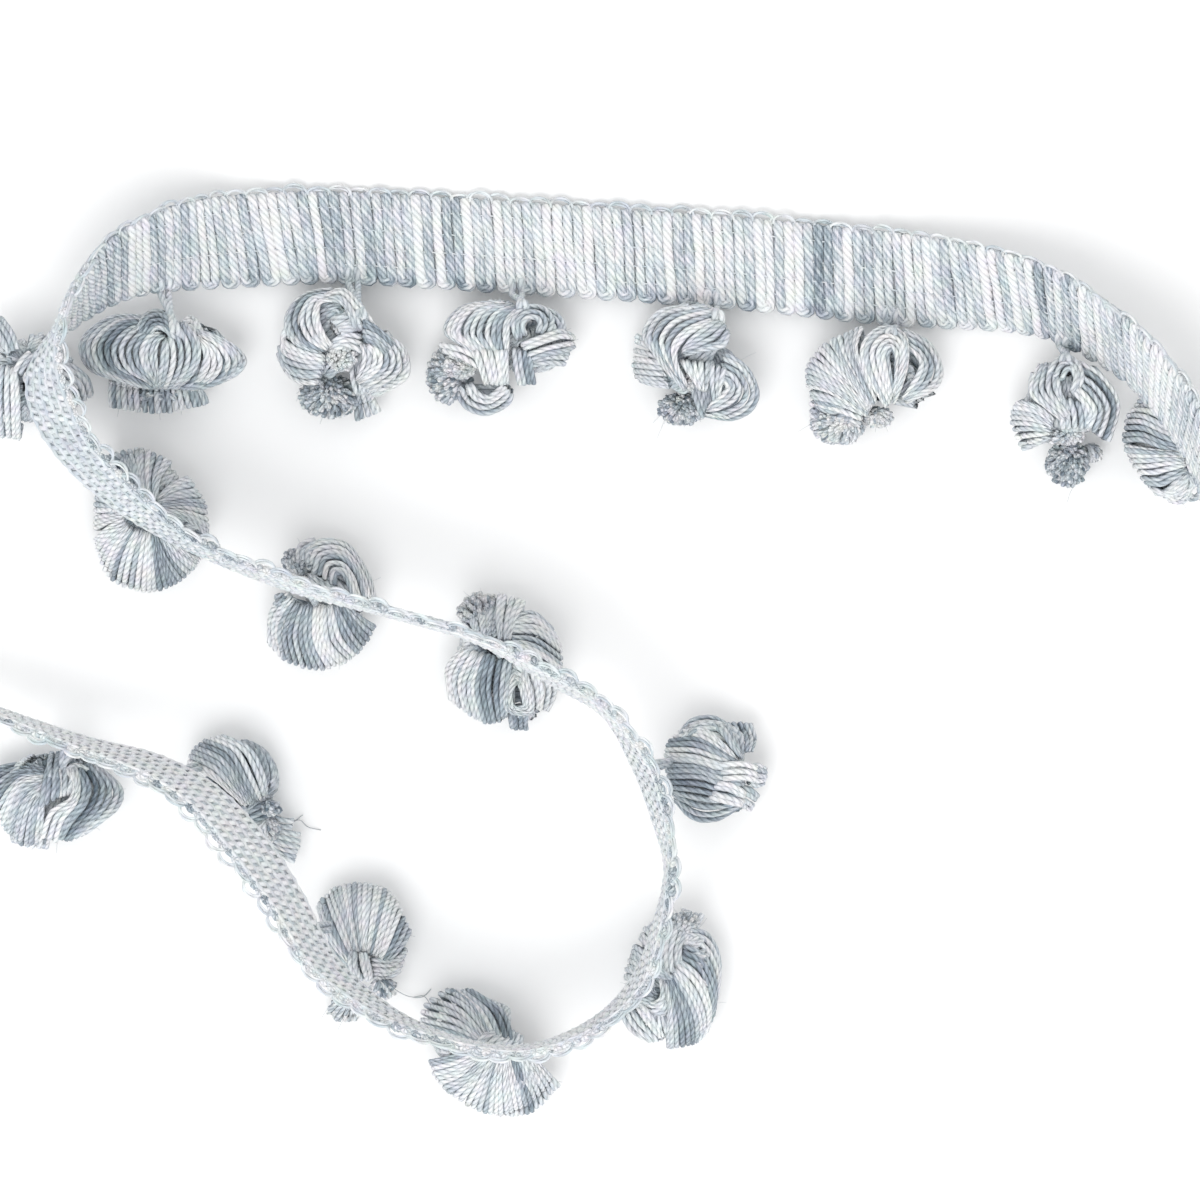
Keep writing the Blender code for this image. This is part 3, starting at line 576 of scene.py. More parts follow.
def yarn_look(name, colours, plies, grain, groove_shade, marl, shade, relief):
    """Space-dyed plied yarn. The dye at each point, broken up by streaks along the yarn, picks the
    colour. The twist gives painted shade in the grooves between the plies and painted shade at
    the yarn's sides, darkest on the side away from the direction each tube was given."""
    made = bpy.data.materials.new(name)
    made.use_nodes = True
    tree = made.node_tree
    link = tree.links.new
    shader = tree.nodes["Principled BSDF"]
    for socket, value in SHADER_VALUES.items():
        shader.inputs[socket].default_value = value
    dye = attribute(tree, "dye")
    twist = attribute(tree, "twist").outputs["Vector"]
    parts = tree.nodes.new("ShaderNodeSeparateXYZ")
    link(twist, parts.inputs[0])
    place = tree.nodes.new("ShaderNodeTexCoord").outputs["Object"]
    streak = noise(tree, twist, STREAK_SCALE, 5).outputs["Fac"]
    fibre = noise(tree, place, FIBRE_SCALE, 4).outputs["Fac"]
    hue = noise(tree, place, HUE_SCALE, 2).outputs["Color"]

    round_yarn = calc(tree, "ARCTAN2", parts.outputs["Y"], parts.outputs["X"])
    wound = calc(tree, "MULTIPLY_ADD", parts.outputs["Z"], 2 * math.pi, round_yarn)
    wave = calc(tree, "COSINE", calc(tree, "MULTIPLY", wound, 0.5 * plies))
    ply = calc(tree, "POWER", calc(tree, "ABSOLUTE", wave), PLY_ROUNDING)
    spread = calc(tree, "MULTIPLY_ADD", streak, grain, -0.5 * grain)
    speckle = calc(tree, "MULTIPLY_ADD", fibre, 0.5 * grain, -0.25 * grain)
    # Painted shade in the grooves between the plies: darker where the ply wave is low.
    sunk = calc(tree, "MULTIPLY_ADD", ply, -groove_shade, groove_shade)
    # Painted shade at the yarn's sides, darkest on the side away from the tube's given direction.
    sides = calc(tree, "MULTIPLY_ADD", parts.outputs["Y"], -shade, shade)
    plied = calc(tree, "MULTIPLY", wave, marl)
    total = dye.outputs["Fac"]
    for part in (spread, speckle, sunk, sides, plied):
        total = calc(tree, "ADD", total, part)

    ramp = tree.nodes.new("ShaderNodeValToRGB")
    while len(ramp.color_ramp.elements) < len(colours):
        ramp.color_ramp.elements.new(0.5)
    for stop, (at, colour) in zip(ramp.color_ramp.elements, colours):
        stop.position = at
        stop.color = (*colour, 1)
    link(total, ramp.inputs["Fac"])
    tint = calc(tree, "MULTIPLY_ADD", hue, (HUE_DRIFT,) * 3, (1 - 0.5 * HUE_DRIFT,) * 3,
                node_type="ShaderNodeVectorMath")
    dyed = calc(tree, "MULTIPLY", ramp.outputs["Color"], tint, node_type="ShaderNodeVectorMath")
    link(dyed, shader.inputs["Base Color"])
    bump = tree.nodes.new("ShaderNodeBump")
    bump.inputs["Strength"].default_value = relief
    bump.inputs["Distance"].default_value = BUMP_DEPTH
    link(calc(tree, "MULTIPLY_ADD", fibre, 0.5, ply), bump.inputs["Height"])
    link(bump.outputs["Normal"], shader.inputs["Normal"])
    return made


POMPOM_LOOK = yarn_look("pompom_yarn_look", YARN_COLOURS, plies=4, grain=0.60, groove_shade=0.18, marl=0.06,
                        shade=SIDE_SHADE, relief=0.8)
RIB_LOOK = yarn_look("rib_yarn_look", YARN_COLOURS, plies=6, grain=1.20, groove_shade=0.30, marl=0.10,
                     shade=0.08, relief=0.8)
BACK_LOOK = yarn_look("back_yarn_look", YARN_COLOURS, plies=2, grain=0.50, groove_shade=0.10, marl=0.04,
                      shade=0.06, relief=0.6)
PALE_LOOK = yarn_look("binder_yarn_look", PALE_COLOURS, plies=2, grain=0.50, groove_shade=0.10, marl=0.04,
                      shade=0.10, relief=0.6)


# Heading tape


def tape_frames():
    """Middle, run, direction to the picot edge and face direction at even half-rib steps."""
    knots = np.array([(*at_plan(x, y, z), lean) for x, y, z, lean in TAPE_STATIONS])
    last = len(knots) - 1
    fine = []
    for i in range(last):
        near = [knots[max(0, min(last, i + k))] for k in (-1, 0, 1, 2)]
        fine += [between(*near, step / SPAN_STEPS) for step in range(SPAN_STEPS)]
    fine = np.array(fine + [knots[-1]])
    run = np.concatenate([[0], np.cumsum(np.linalg.norm(np.diff(fine[:, :3], axis=0), axis=1))])
    count = 2 * int(run[-1] / RIB_PITCH)
    want = np.linspace(0, run[-1], count + 1)
    line = np.stack([np.interp(want, run, fine[:, k]) for k in range(4)], axis=1)
    middle = line[:, :3]
    index = np.arange(count + 1)
    along = unit(middle[np.minimum(index + 2, count)] - middle[np.maximum(index - 2, 0)])
    side = unit(np.stack([along[:, 1], -along[:, 0], 0 * along[:, 0]], axis=1))
    up = np.cross(side, along)
    lean = np.radians(line[:, 3])[:, None]
    across = np.cos(lean) * side + np.sin(lean) * up
    return middle, along, across, np.cross(across, along), run[-1]


MIDDLE, ALONG, ACROSS, FACE, TAPE_LENGTH = tape_frames()
STEPS = len(MIDDLE) - 1
STEP = TAPE_LENGTH / STEPS
HALF = TAPE_WIDTH / 2
# The share of the tape's length from which it stands on its pompoms
STANDS_FROM = 0.40

RIB_RADIUS = 0.76 * MM
RIB_FLAT = 0.68
RIB_TWIST = -6.4 * MM
RIB_BEND = 0.26 * STEP
RIB_POINTS = 13
# Extra darkness on the first ribs, at the tape's right end: partly dye, partly painted shade where the
# softbox lights the tape most.
END_DYE_AND_SHADE = 0.16
PICOT_RADIUS = 0.19 * MM
PICOT_ROOT = 0.7 * MM
# Binding threads: their shares of the half width, and their heights in mm
WARPS = ((0.60, 0.42), (0.12, 0.46), (-0.30, 0.54), (-0.68, 0.46))
WARP_RADIUS = 0.11 * MM
BACK_ROWS = 5
LANE_RADIUS = 0.52 * MM
LANE_FLAT = 0.42
FLOAT_RADIUS = 0.46 * MM
FLOAT_FLAT = 0.5
# The dye of the back at places along the tape, given as shares of its length. It is partly a
# dye drift and partly painted light and shade: darker at the left turn, which faces the softbox,
# and paler on the lower run, which faces away from it.
BACK_DYES_AND_SHADE = (
    (0.0, 0.17), (0.40, 0.40), (0.46, 0.42), (0.50, 0.26), (0.58, 0.17),
    (0.80, 0.13), (0.86, 0.03), (0.93, 0.00), (1.0, 0.10),
)


def rows_at(rows, at):
    """A tape position or direction at places along it in half-rib steps."""
    at = np.clip(np.asarray(at, float), 0, STEPS)
    return np.stack([np.interp(at, np.arange(STEPS + 1), rows[:, k]) for k in range(3)], axis=-1)


def on_tape(at, w, f):
    """Points in metres at places along the tape in half-rib steps, w towards the picots and
    f in front of its middle."""
    at, w, f = np.broadcast_arrays(np.asarray(at, float), w, f)
    middle, along, across, face = (rows_at(rows, at) for rows in (MIDDLE, ALONG, ACROSS, FACE))
    beyond = (at - np.clip(at, 0, STEPS))[..., None] * STEP
    return middle + beyond * along + w[..., None] * (across + RIB_SKEW * along) + f[..., None] * face


def rib_dyes_and_shade(count, rng):
    """A dye for each crosswise rib: slow drifts of the dyeing, a jump at nearly each rib, and
    darker first ribs at the tape's right end, partly dye and partly painted shade where the
    softbox lights the tape most.
    """
    ribs = np.arange(count)
    # The last term darkens the first ribs: partly dye, partly painted shade.
    drift = sum(rng.uniform(0.05, 0.12) * np.sin(ribs * 2 * math.pi / period + phase(rng))
                for period in (58, 33, 19)) + END_DYE_AND_SHADE * np.exp(-ribs / 16)
    values = []
    for i in range(count):
        pick = rng.random()
        if pick < 0.24:
            values.append(rng.uniform(-0.28, -0.12))
        elif pick < 0.70:
            values.append(0.17 + drift[i] + rng.uniform(-0.08, 0.08))
        else:
            values.append(0.31 + drift[i] + rng.uniform(-0.08, 0.12))
    return np.array(values)


def heading_ribs(dyes, rng):
    """Rib cords in pairs, each pair bent round at the pompom edge."""
    strands = Strands()
    bend = HALF - RIB_BEND
    top = HALF - 0.45 * MM
    downs = np.linspace(top, -bend, RIB_POINTS)
    turn = np.linspace(0, math.pi, 7)[1:-1]
    corner = -0.5 * np.sign(np.cos(turn)) * np.abs(np.cos(turn)) ** 0.5
    at = np.concatenate([np.full(RIB_POINTS, -0.5), corner, np.full(RIB_POINTS, 0.5)])
    w = np.concatenate([downs, -bend - RIB_BEND * np.sin(turn) ** 0.6, downs[::-1]])
    pinch = sum(np.exp(-((w - HALF * share) / (0.35 * MM)) ** 2) for share, height in WARPS)
    edge = np.clip((-w - bend + 0.9 * MM) / (0.9 * MM), 0, 1)
    share = np.linspace(0, 1, len(at))
    for pair in range(STEPS // 2):
        centre = 2 * pair + 1
        wobble = 0.05 * np.sin(w / HALF * 4 + phase(rng)) + rng.uniform(-0.06, 0.06)
        f = (0.27 + rng.uniform(-0.04, 0.06)) * MM + 0.06 * MM * np.sin(w / HALF * 7 + phase(rng))
        f = f - 0.45 * MM * np.exp(-((top - w) / (0.5 * MM)) ** 2)
        width = np.where(share < 0.5, rng.uniform(0.92, 1.10), rng.uniform(0.92, 1.10))
        radius = RIB_RADIUS * width * (1 - 0.08 * pinch) * (1 - 0.02 * edge)
        near, far = dyes[2 * pair], dyes[2 * pair + 1]
        dye = near + (far - near) * np.clip((share - 0.45) / 0.1, 0, 1)
        dye = dye + 0.12 * np.sin(share * 9 + phase(rng)) + rng.uniform(0.0, 0.3) * edge
        line = on_tape(centre + at * (1 - 0.06 * edge) + wobble, w, f)
        strands.rope(line, rows_at(FACE, centre + at), radius, dye, sides=8, flat=RIB_FLAT,
                     pitch=RIB_TWIST)
    return strands.build("heading_ribs", RIB_LOOK)


def heading_picots(rng):
    """Fine thread loops on the picot edge, which flop outwards where the tape stands."""
    strands = Strands()
    t = np.linspace(0, math.pi, 9)
    for pair in range(STEPS // 2):
        centre = 2 * pair + 1 + rng.uniform(-0.2, 0.2)
        tall = rng.uniform(0.30, 0.85) * MM
        leans = (0.2, 1.2) if centre > STANDS_FROM * STEPS else (-0.45, 0.45)
        lean = rng.uniform(*leans) * MM
        for thread in (0, 1):
            at = centre + 0.2 * thread - (1.12 + 0.1 * thread) * np.cos(t)
            rise = tall + PICOT_ROOT - rng.uniform(0.1, 0.4) * MM * thread
            w = HALF - PICOT_ROOT + rise * np.sin(t) ** 0.8
            f = (0.10 - 0.28 * thread) * MM + lean * np.sin(t)
            line = on_tape(at, w, f)
            strands.rope(line, rows_at(FACE, at), PICOT_RADIUS, rng.uniform(0.0, 0.9), sides=5)
    return strands.build("heading_picots", PALE_LOOK)


def heading_warps(rng):
    """Fine binding threads that dip between the ribs on the front."""
    strands = Strands()
    at = np.arange(0.5, STEPS - 0.4, 0.5)
    for share, height in WARPS:
        f = (height + 0.02) * MM + 0.10 * MM * np.cos(2 * math.pi * at)
        w = HALF * share + 0.05 * MM * np.sin(math.pi * at)
        dye = 0.5 + 0.3 * np.sin(at * 0.21 + phase(rng))
        strands.rope(on_tape(at, w, f), rows_at(FACE, at), WARP_RADIUS, dye, sides=4)
    return strands.build("heading_warps", PALE_LOOK)


def back_dye_and_shade(at):
    """The dye of the back at places along the tape in half-rib steps, partly dye drift and
    partly painted light and shade.
    """
    shares, dyes = zip(*BACK_DYES_AND_SHADE)
    return np.interp(np.asarray(at) / STEPS, shares, dyes)


def heading_lattice(dyes, rng):
    """The back: pale lengthwise binders with the rib yarn showing as short floats between them."""
    strands = Strands()
    lanes = np.linspace(-0.86, 0.86, BACK_ROWS + 1)
    at = np.arange(0.4, STEPS - 0.3, 0.5)
    # The back's slow dye carries its painted light and shade along the tape.
    slow = back_dye_and_shade(at) + 0.10 * np.sin(at * 0.11 + phase(rng))
    for n, share in enumerate(lanes):
        w = HALF * share + 0.14 * MM * np.cos(math.pi * at + math.pi * n)
        f = -0.50 * MM - 0.06 * MM * np.cos(2 * math.pi * at)
        dye = slow + 0.08 * np.sin(at * 0.3 + phase(rng))
        strands.rope(on_tape(at, w, f), -rows_at(FACE, at), LANE_RADIUS, dye, sides=6, flat=LANE_FLAT)
    gap = HALF * (lanes[1] - lanes[0])
    for n in range(BACK_ROWS):
        share = 0.5 * (lanes[n] + lanes[n + 1])
        for rib in range(STEPS):
            middle = rib + 0.5 + (0.25 if n % 2 else -0.25) + rng.uniform(-0.16, 0.16)
            if not 0.6 < middle < STEPS - 0.6:
                continue
            long = rng.uniform(0.26, 0.36)
            w = HALF * share + np.linspace(-long, long, 3) * gap
            f = -0.54 * MM - 0.16 * MM * np.array([0.0, 1, 0.0])
            line = on_tape(middle + 0.08 * np.array([-1, 0, 1]), w, f)
            # The floats take the back's dye, with its painted light and shade, and some of their rib's dye.
            dye = back_dye_and_shade(middle) - 0.12 + 0.22 * dyes[rib] + rng.uniform(-0.10, 0.10)
            strands.rope(line, -rows_at(FACE, np.full(3, middle)), FLOAT_RADIUS, dye, sides=5,
                         flat=FLOAT_FLAT)
    return strands.build("heading_lattice", BACK_LOOK)


def heading_ground():
    """The thin woven ground between the ribs and the back floats, as one closed ribbon."""
    strands = Strands()
    at = np.arange(0.1, STEPS - 0.05, 0.5)
    shares = np.linspace(-0.93, 0.93, 5)
    verts = []
    for side, f0 in ((1, 0.02), (-1, -0.46)):
        for share in shares[::side]:
            f = f0 * MM + 0.04 * MM * np.cos(2 * math.pi * at + 9 * share)
            verts.append(on_tape(at, HALF * share, f))
    verts = np.stack(verts, axis=1)
    sides = verts.shape[1]
    count = len(at) * sides
    strands.add(verts.reshape(-1, 3), ring_faces(len(at), sides), np.full(count, 0.55), np.zeros((count, 3)))
    return strands.build("heading_ground", PALE_LOOK)


# Pompoms


def poles(row):
    """The head and the tie of a lobe in metres."""
    return at_plan(*row[:3]), at_plan(*row[3:6])


def pole_frame(head, tie):
    """Axis from head to tie, its length, the level right-hand direction and the one above it."""
    axis = unit(tie - head)
    length = np.linalg.norm(tie - head)
    level = np.cross(axis, [0, 0, 1])
    if np.linalg.norm(level) < 0.75:
        side = unit(np.array([1.0, 0, 0]) - axis[0] * axis)
        return axis, length, side, np.cross(side, axis)
    side = unit(level)
    up = np.cross(side, axis)
    return axis, length, side, up if up[2] > 0 else -up


def clumps(count, rng):
    """Neighbouring yarns in clumps that share their sag and dye: a list of rows for each yarn."""
    rows = []
    while len(rows) < count:
        size = min(rng.randint(2, 8), count - len(rows))
        pick = rng.random()
        if pick < 0.34:
            tone = rng.uniform(0.0, 0.14)
        elif pick < 0.64:
            tone = rng.uniform(0.25, 0.50)
        else:
            tone = rng.uniform(0.58, 1.0)
        shared = dict(reach=rng.uniform(0.90, 1.02), puff=rng.uniform(0.6, 1.25),
                      turn=rng.uniform(-0.16, 0.16), sink=rng.uniform(0.0, 1.2) * MM)
        close = rng.uniform(0.80, 0.95)
        for k in range(size):
            off = (0.5 * (size - 1) - k) * (1 - close)
            rows.append(dict(shared, dye=tone + rng.uniform(-0.08, 0.08), off=off))
    return rows


def lobe(strands, row, rng, ridge_way):
    """Part of a pompom's core: a fan of yarns between two poles, with a layer that closes gaps."""
    size = dict(zip(LOBE_COLUMNS, row))
    head, tie = poles(row)
    centre = 0.5 * (head + tie)
    axis, length, side, up = pole_frame(head, tie)
    start, end = math.radians(size["angle_from"]), math.radians(size["angle_to"])
    swirl = rng.uniform(-0.2, 0.2)
    ridge = unit(ridge_way - ridge_way.dot(axis) * axis) if abs(axis[2]) > 0.9 else side
    waves = [(phase(rng), k, rng.uniform(0.01, 0.04)) for k in (2, 3, 5)]
    girth = abs(end - start) * 0.5 * (size["wide"] + size["deep"]) * MM
    for values in CORE_LAYERS:
        layer = dict(zip(CORE_LAYER_COLUMNS, values))
        number = int(layer["yarns"] * int(girth / YARN_SPACING))
        share = layer["reach"]
        for i, yarn in enumerate(clumps(number, rng)):
            angle = start + (end - start) * (i + 0.5 + yarn["off"] + rng.uniform(-0.15, 0.15)) / number
            way = math.cos(angle) * side + math.sin(angle) * up
            reach = 1 / math.hypot(math.cos(angle) / size["wide"], math.sin(angle) / size["deep"]) * MM
            swell = 1 + sum(depth * math.sin(k * angle + begin) for begin, k, depth in waves)
            reach = share * (reach - YARN_RADIUS) * yarn["reach"] * rng.uniform(0.96, 1.02) * swell
            base = rng.uniform(0.5, 1.2) * MM * way + size["ridge"] * MM * ridge.dot(way) * ridge
            nest = (0.45 + 0.55 * abs(math.cos(angle))) * yarn["puff"] * rng.uniform(0.9, 1.1) * share * MM
            before, after = size["puff_head"] * nest, size["puff_tie"] * nest
            sink = yarn["sink"] + rng.uniform(0, 0.5) * MM + layer["sunk"]
            gather = abs(math.cos(angle)) * (size["gather"] - 1.0) * MM + rng.uniform(0.7, 1.2) * MM
            # How far out the yarn stands, as a share of its reach, and how far along the axis
            shape = ((0.36, -0.8 * before), (0.75, -0.5 * before + 0.05 * length), (0.98, 0.33 * length),
                     (0.97, 0.64 * length), (0.70, 0.92 * length + 0.5 * after),
                     (0.33, length + 0.8 * after))
            drift = (swirl + yarn["turn"]) * np.linspace(-0.5, 0.5, len(shape) + 1) + rng.uniform(-0.04, 0.04)
            points = [head + min(sink, 0.4 * length) * axis + base]
            for (part, along), turn in zip(shape, drift):
                radial = math.cos(angle + turn) * side + math.sin(angle + turn) * up
                points.append(head + along * axis + (1 - part) * base + part * reach * radial)
            turn = angle + drift[-1]
            points.append(tie + gather * (math.cos(turn) * side + math.sin(turn) * up))
            line = curve(points, layer["steps"]) - centre
            line[:, :2] *= CORE_PLAN
            line[:, 2] = np.where(line[:, 2] > 0, CORE_TOP * line[:, 2], line[:, 2])
            line += centre
            thick = YARN_RADIUS * layer["thick"]
            taper = 1 - 0.25 * np.abs(np.linspace(-1, 1, layer["steps"])) ** 4
            line[:, 2] = np.maximum(line[:, 2], thick * 0.95)
            fade = 0.1 * np.sin(np.linspace(0, rng.uniform(1, 4), layer["steps"]))
            # The core's dye is a paler share of its clump's dye, plus the small painted shade of the core.
            dye = CORE_PAINTED_SHADE + 0.35 * yarn["dye"] + fade
            strands.rope(line, way, thick * taper, dye, sides=layer["sides"])


def dome_height(dome, x, y):
    """Height in mm of the pompom's rounded top, and how near the rim it is, at plan places."""
    size = dict(zip(DOME_COLUMNS, dome))
    near = np.hypot((x - size["x"]) / size["half_x"], (y - size["y"]) / size["half_y"])
    return size["z_rim"] + (size["z_top"] - size["z_rim"]) * np.sqrt(1 - np.minimum(near ** 2, 0.985)), near


def sweep(strands, row, dome, rng):
    """Yarns side by side between guide lines, laid over the pompom's rounded top. There are as
    many as the widest place needs, and they thin out where they draw together."""
    dyes, lift, ends, *guides = row
    guides = np.array(guides, float)
    widest = np.linalg.norm(np.diff(guides, axis=0), axis=2).sum(axis=0).max()
    count = 1 + max(1, round(widest / SWEEP_PITCH))
    lines = curve(guides.reshape(len(guides), -1), count).reshape(count, -1, 2)
    lines = np.stack([curve(plan, SWEEP_STEPS) for plan in lines])
    gaps = np.linalg.norm(np.gradient(lines, axis=0), axis=2)
    middle = np.array(dome[:2], float)
    share = np.linspace(0, 1, SWEEP_STEPS)
    for i in range(count):
        digit = int(dyes[int((i + 0.5) / count * len(dyes))])
        plan = lines[i] + [rng.uniform(-0.6, 0.6), rng.uniform(-0.6, 0.6)]
        radius = np.clip(0.66 * gaps[i] * UNIT, 0.62 * YARN_RADIUS, YARN_RADIUS) * rng.uniform(0.94, 1.06)
        height, near = dome_height(dome, plan[:, 0], plan[:, 1])
        height = height + lift + rng.uniform(-0.22, 0.22)
        height -= TUCK_DEPTH * np.clip(1 - share / 0.12, 0, 1) ** 2 * (near < INSIDE_RIM)
        if ends == "tuck":
            height -= TUCK_DEPTH * np.clip((share - 0.88) / 0.12, 0, 1) ** 2 * (near < INSIDE_RIM)
        rows = [(x, y, z) for (x, y), z in zip(plan, height)]
        for end in (0, -1):
            if near[end] < INSIDE_RIM or (end == -1 and ends == "cut"):
                continue
            inward = unit(middle - plan[end])
            under = [(*(plan[end] + inward * step), max(0.4, height[end] - drop))
                     for step, drop in ((1.0, 1.1), (5.0, 2.4), (14.0, 3.2))]
            rows = under[::-1] + rows if end == 0 else rows + under
            same = np.full(3, radius[end])
            radius = np.concatenate([same, radius] if end == 0 else [radius, same])
        line = np.array([at_plan(*point) for point in rows])
        dye = DYE_STEP * digit - 0.04 + rng.uniform(-0.13, 0.13)
        dye = dye + 0.07 * np.sin(np.linspace(0, rng.uniform(2, 6), len(line)) + phase(rng))
        # The tube's given direction points out from the pompom's middle, so the painted side shade falls on
        # each yarn's inward side.
        outward = unit(line - at_plan(*middle, 3.0))
        strands.rope(line, outward, radius, dye, sides=6)


def tuft(strands, row, tie, rng):
    """Cut ends that stand out all round from the middle of a brush, trimmed to a rounded shape."""
    size = dict(zip(TUFT_COLUMNS, row))
    middle = at_plan(size["x"], size["y"], size["z"])
    half = np.array([size["half_x"], size["half_y"], size["half_z"]]) * MM
    tone = size["dye"]
    count = int(TUFT_FILL * size["ends"])
    for i in range(count):
        level = 1 - 1.6 * (i + 0.5) / count
        turn = GOLDEN_ANGLE * i + rng.uniform(-0.25, 0.25)
        ring = math.sqrt(1 - level * level)
        way = np.array([ring * math.cos(turn), ring * math.sin(turn), level])
        tip = middle + way * half * rng.uniform(0.86, 1.04)
        root = 0.75 * middle + 0.25 * tie + 0.30 * way * half
        line = curve([root, 0.5 * (root + tip) + rng.uniform(-0.2, 0.2) * MM * unit(half), tip], 4)
        radius = YARN_RADIUS * np.array([0.7, 0.8, 0.95, 1.0]) * rng.uniform(0.8, 1.1)
        line[:, 2] = np.maximum(line[:, 2], radius * 0.95)
        if rng.random() < 0.45:
            tone = size["dye"] + rng.choice((-0.25, -0.15, 0.0, 0.1, 0.2, 0.3))
        dye = tone + rng.uniform(-0.15, 0.15)
        ref = unit(np.array([rng.uniform(-1, 1) for _ in range(3)]))
        # The cut ends are made paler by the side shade, evening out on average the painted side shade that
        # the material puts on them.
        strands.rope(line, ref, radius, dye - SIDE_SHADE, sides=4)


def neck(strands, name, dome, rng):
    """The doubled yarn from the front of the tape down to the top of a front pompom."""
    size = dict(zip(NECK_COLUMNS, NECKS[name]))
    at = np.arange(1, STEPS, 0.25)
    away = on_tape(at, -HALF, 0.0) - at_plan(size["from_x"], size["from_y"], 0)
    best = at[int(np.argmin(np.linalg.norm(away[:, :2], axis=1)))]
    height = dome_height(dome, size["to_x"], size["to_y"])[0]
    for shift in (-1, 1):
        place = best + 0.5 * shift
        top = on_tape(place, -0.72 * HALF, -0.1 * MM)
        rise = on_tape(place, -0.88 * HALF, 0.75 * MM)
        low = on_tape(place, -HALF - 0.7 * MM, 0.50 * MM)
        rest = at_plan(size["to_x"] + 3.2 * shift, size["to_y"] - 6, height + 0.3)
        base = at_plan(size["to_x"] + 2.8 * shift, size["to_y"] + 8, height - 2.4)
        line = curve([top, rise, low, 0.5 * (low + rest), rest, base], 22)
        strands.rope(line, np.array([0.0, 0, 1]), 0.50 * MM, rng.uniform(0.0, 0.4), sides=7)


def hanging_loop(strands, head, axis, rng):
    """The doubled yarn from the head of the pompom up to the tape's edge."""
    at = np.arange(1, STEPS, 0.5)
    edge = on_tape(at, -HALF + 0.2 * MM, 0.0)
    best = at[int(np.argmin(np.linalg.norm(edge - (head - 3.0 * MM * axis), axis=1)))]
    for shift in (-0.55, 0.55):
        top = on_tape(best + 0.7 * shift, -HALF + 1.0 * MM, 0.35 * MM)
        low = on_tape(best + 0.6 * shift, -HALF - 0.6 * MM, 0.25 * MM)
        base = head + 1.5 * MM * axis
        mid = 0.5 * (low + head) - 0.3 * MM * axis + 0.3 * shift * MM * unit(ALONG[int(best)])
        line = curve([top, low, mid, head, base], 16)
        ref = unit(np.cross(unit(low - head), [0.31, 0.52, 0.79]))
        strands.rope(line, ref, 0.44 * MM, rng.uniform(0.0, 0.2))


def fuzz(strands, centre, rng, count=26):
    """Fine loose fibres that stand off the yarn."""
    tubes = list(strands.verts)
    for _ in range(count):
        tube = rng.choice(tubes)
        root = tube[rng.randrange(len(tube))]
        bend = np.array([rng.uniform(-1, 1) for _ in range(3)])
        tip = root + (unit(root - centre) + 0.9 * bend) * rng.uniform(0.5, 1.8) * MM
        if min(root[2], tip[2]) < 0.4 * MM:
            continue
        line = curve([root, 0.5 * (root + tip) + 0.25 * MM * bend, tip], 5)
        strands.rope(line, unit(bend), 0.020 * MM, rng.uniform(0, 0.5), sides=3)


def long_fibres(strands, name):
    """The few long loose fibres that hang from a pompom towards the floor."""
    for plan in FIBRES.get(name, ()):
        line = curve([at_plan(x, y, 1.2 - 0.3 * i) for i, (x, y) in enumerate(plan)], 14)
        strands.rope(line, np.array([0.0, 0, 1]), 0.06 * MM, 0.2, sides=4)


def pompom(name):
    """One pompom with its core, yarns, loop and cut ends as one mesh."""
    rng = random.Random(SEED + int(name[-2:]))
    strands = Strands()
    head, tie = poles(LOBES[name][0])
    over = ALONG[int(np.argmin(np.linalg.norm((MIDDLE - head)[:, :2], axis=1)))]
    for row in LOBES[name]:
        lobe(strands, row, rng, over)
    for row in SWEEPS[name]:
        sweep(strands, row, DOMES[name], rng)
    for row in TUFTS[name]:
        tuft(strands, row, tie, rng)
    if name in NECKS:
        neck(strands, name, DOMES[name], rng)
    else:
        hanging_loop(strands, head, unit(tie - head), rng)
    fuzz(strands, at_plan(*DOMES[name][:2], 5.0), rng)
    long_fibres(strands, name)
    piece = strands.build(name + "_yarn", POMPOM_LOOK)
    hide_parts(name)
    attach(piece, "root")
    return piece


RNG = random.Random(SEED)
RIB_DYES_AND_SHADE = rib_dyes_and_shade(STEPS + 1, RNG)
GROUND = heading_ground()
TRIM = [heading_ribs(RIB_DYES_AND_SHADE, RNG), heading_picots(RNG), heading_warps(RNG), heading_lattice(RIB_DYES_AND_SHADE, RNG)]
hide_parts("heading_tape")
for made in (GROUND, *TRIM):
    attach(made, "root")
POMPOMS = [pompom(name) for name in LOBES]


# Floor, light and camera

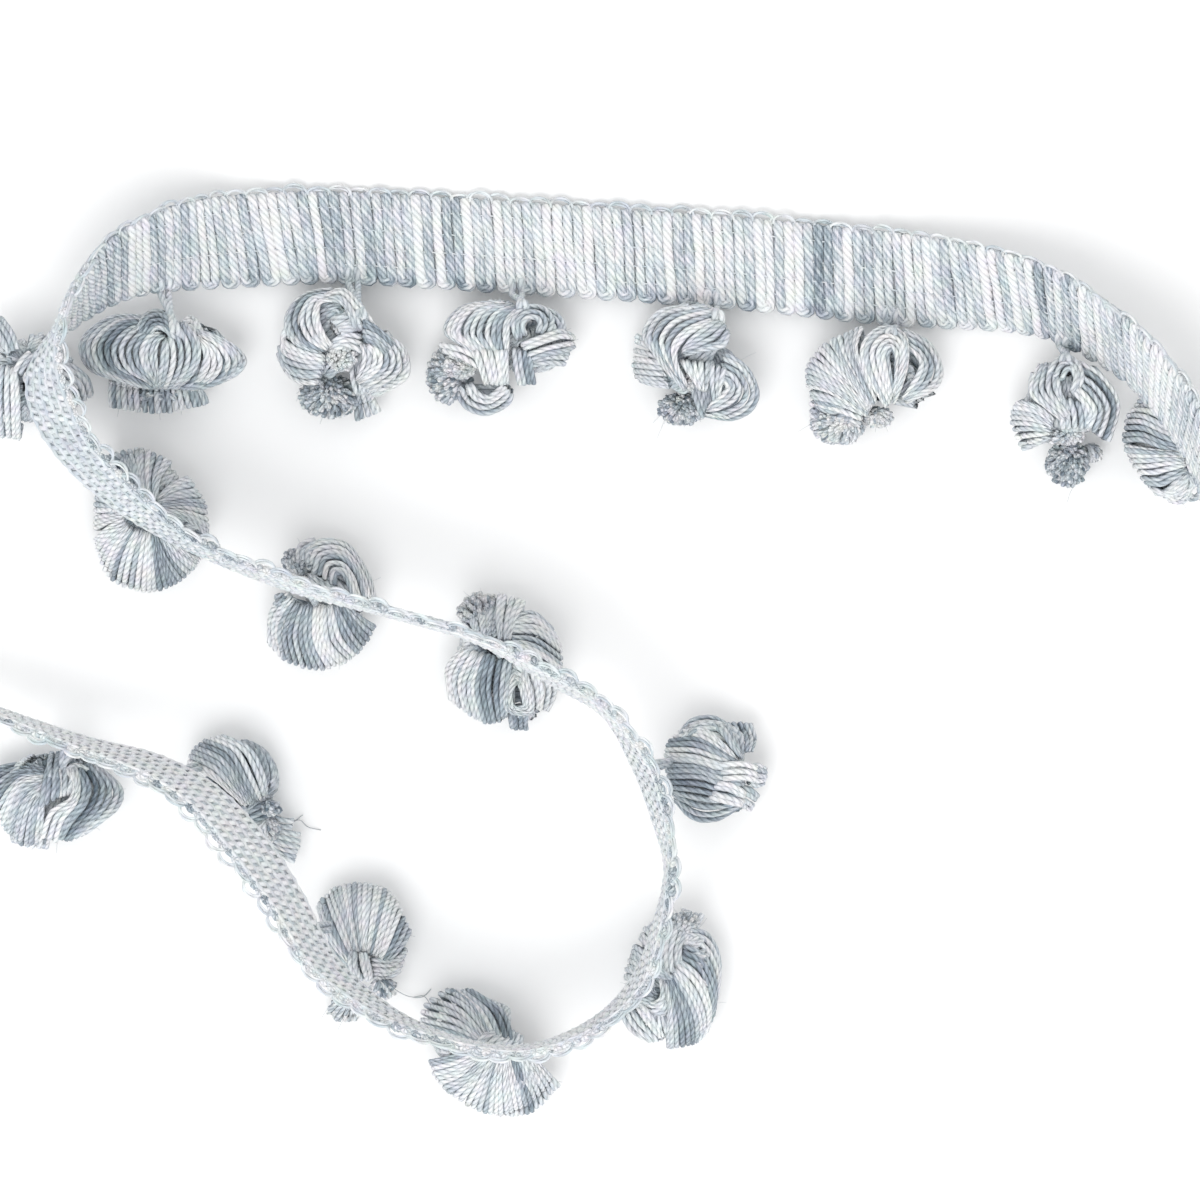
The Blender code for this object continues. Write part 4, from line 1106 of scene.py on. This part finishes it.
PHOTO_SPAN = 0.168
PHOTO_MIDDLE = (0.003139, 0.006886)
CAMERA_HEIGHT = 3.0
SENSOR_WIDTH = 36
FLOOR_WHITE = 0.93
FLOOR_HALF = 4
WORLD_STRENGTH = 1.02
SOFTBOX_AT = (-0.20, -0.50, 1.22)
SOFTBOX_SIZE = 0.8
SOFTBOX_POWER = 7.6


def add_object(name, data, location=(0, 0, 0)):
    """Puts a mesh, light or camera into the scene."""
    made = bpy.data.objects.new(name, data)
    made.location = location
    bpy.context.scene.collection.objects.link(made)
    return made


def floor_look():
    """Plain white paper."""
    made = bpy.data.materials.new("floor_look")
    made.use_nodes = True
    shader = made.node_tree.nodes["Principled BSDF"]
    shader.inputs["Base Color"].default_value = (FLOOR_WHITE, FLOOR_WHITE, FLOOR_WHITE, 1)
    shader.inputs["Roughness"].default_value = 0.9
    shader.inputs["Specular IOR Level"].default_value = 0.1
    return made


floor_mesh = bpy.data.meshes.new("floor")
corners = [(x * FLOOR_HALF, y * FLOOR_HALF, 0) for x, y in ((-1, -1), (1, -1), (1, 1), (-1, 1))]
floor_mesh.from_pydata(corners, [], [(0, 1, 2, 3)])
floor_mesh.materials.append(floor_look())
floor = add_object("floor", floor_mesh)

world = bpy.data.worlds.new("studio")
world.use_nodes = True
background = world.node_tree.nodes["Background"]
background.inputs["Color"].default_value = (1.0, 1.0, 1.0, 1)
background.inputs["Strength"].default_value = WORLD_STRENGTH
bpy.context.scene.world = world

softbox = bpy.data.lights.new("softbox", "AREA")
softbox.shape = "DISK"
softbox.size = SOFTBOX_SIZE
softbox.energy = SOFTBOX_POWER
softbox_object = add_object("softbox", softbox, SOFTBOX_AT)
softbox_object.rotation_euler = mathutils.Vector(SOFTBOX_AT).to_track_quat("Z", "Y").to_euler()

camera = bpy.data.cameras.new("camera")
camera.sensor_width = SENSOR_WIDTH
camera.lens = camera.sensor_width * CAMERA_HEIGHT / PHOTO_SPAN
bpy.context.scene.camera = add_object("camera", camera, (*PHOTO_MIDDLE, CAMERA_HEIGHT))
bpy.context.scene.view_settings.view_transform = "Standard"
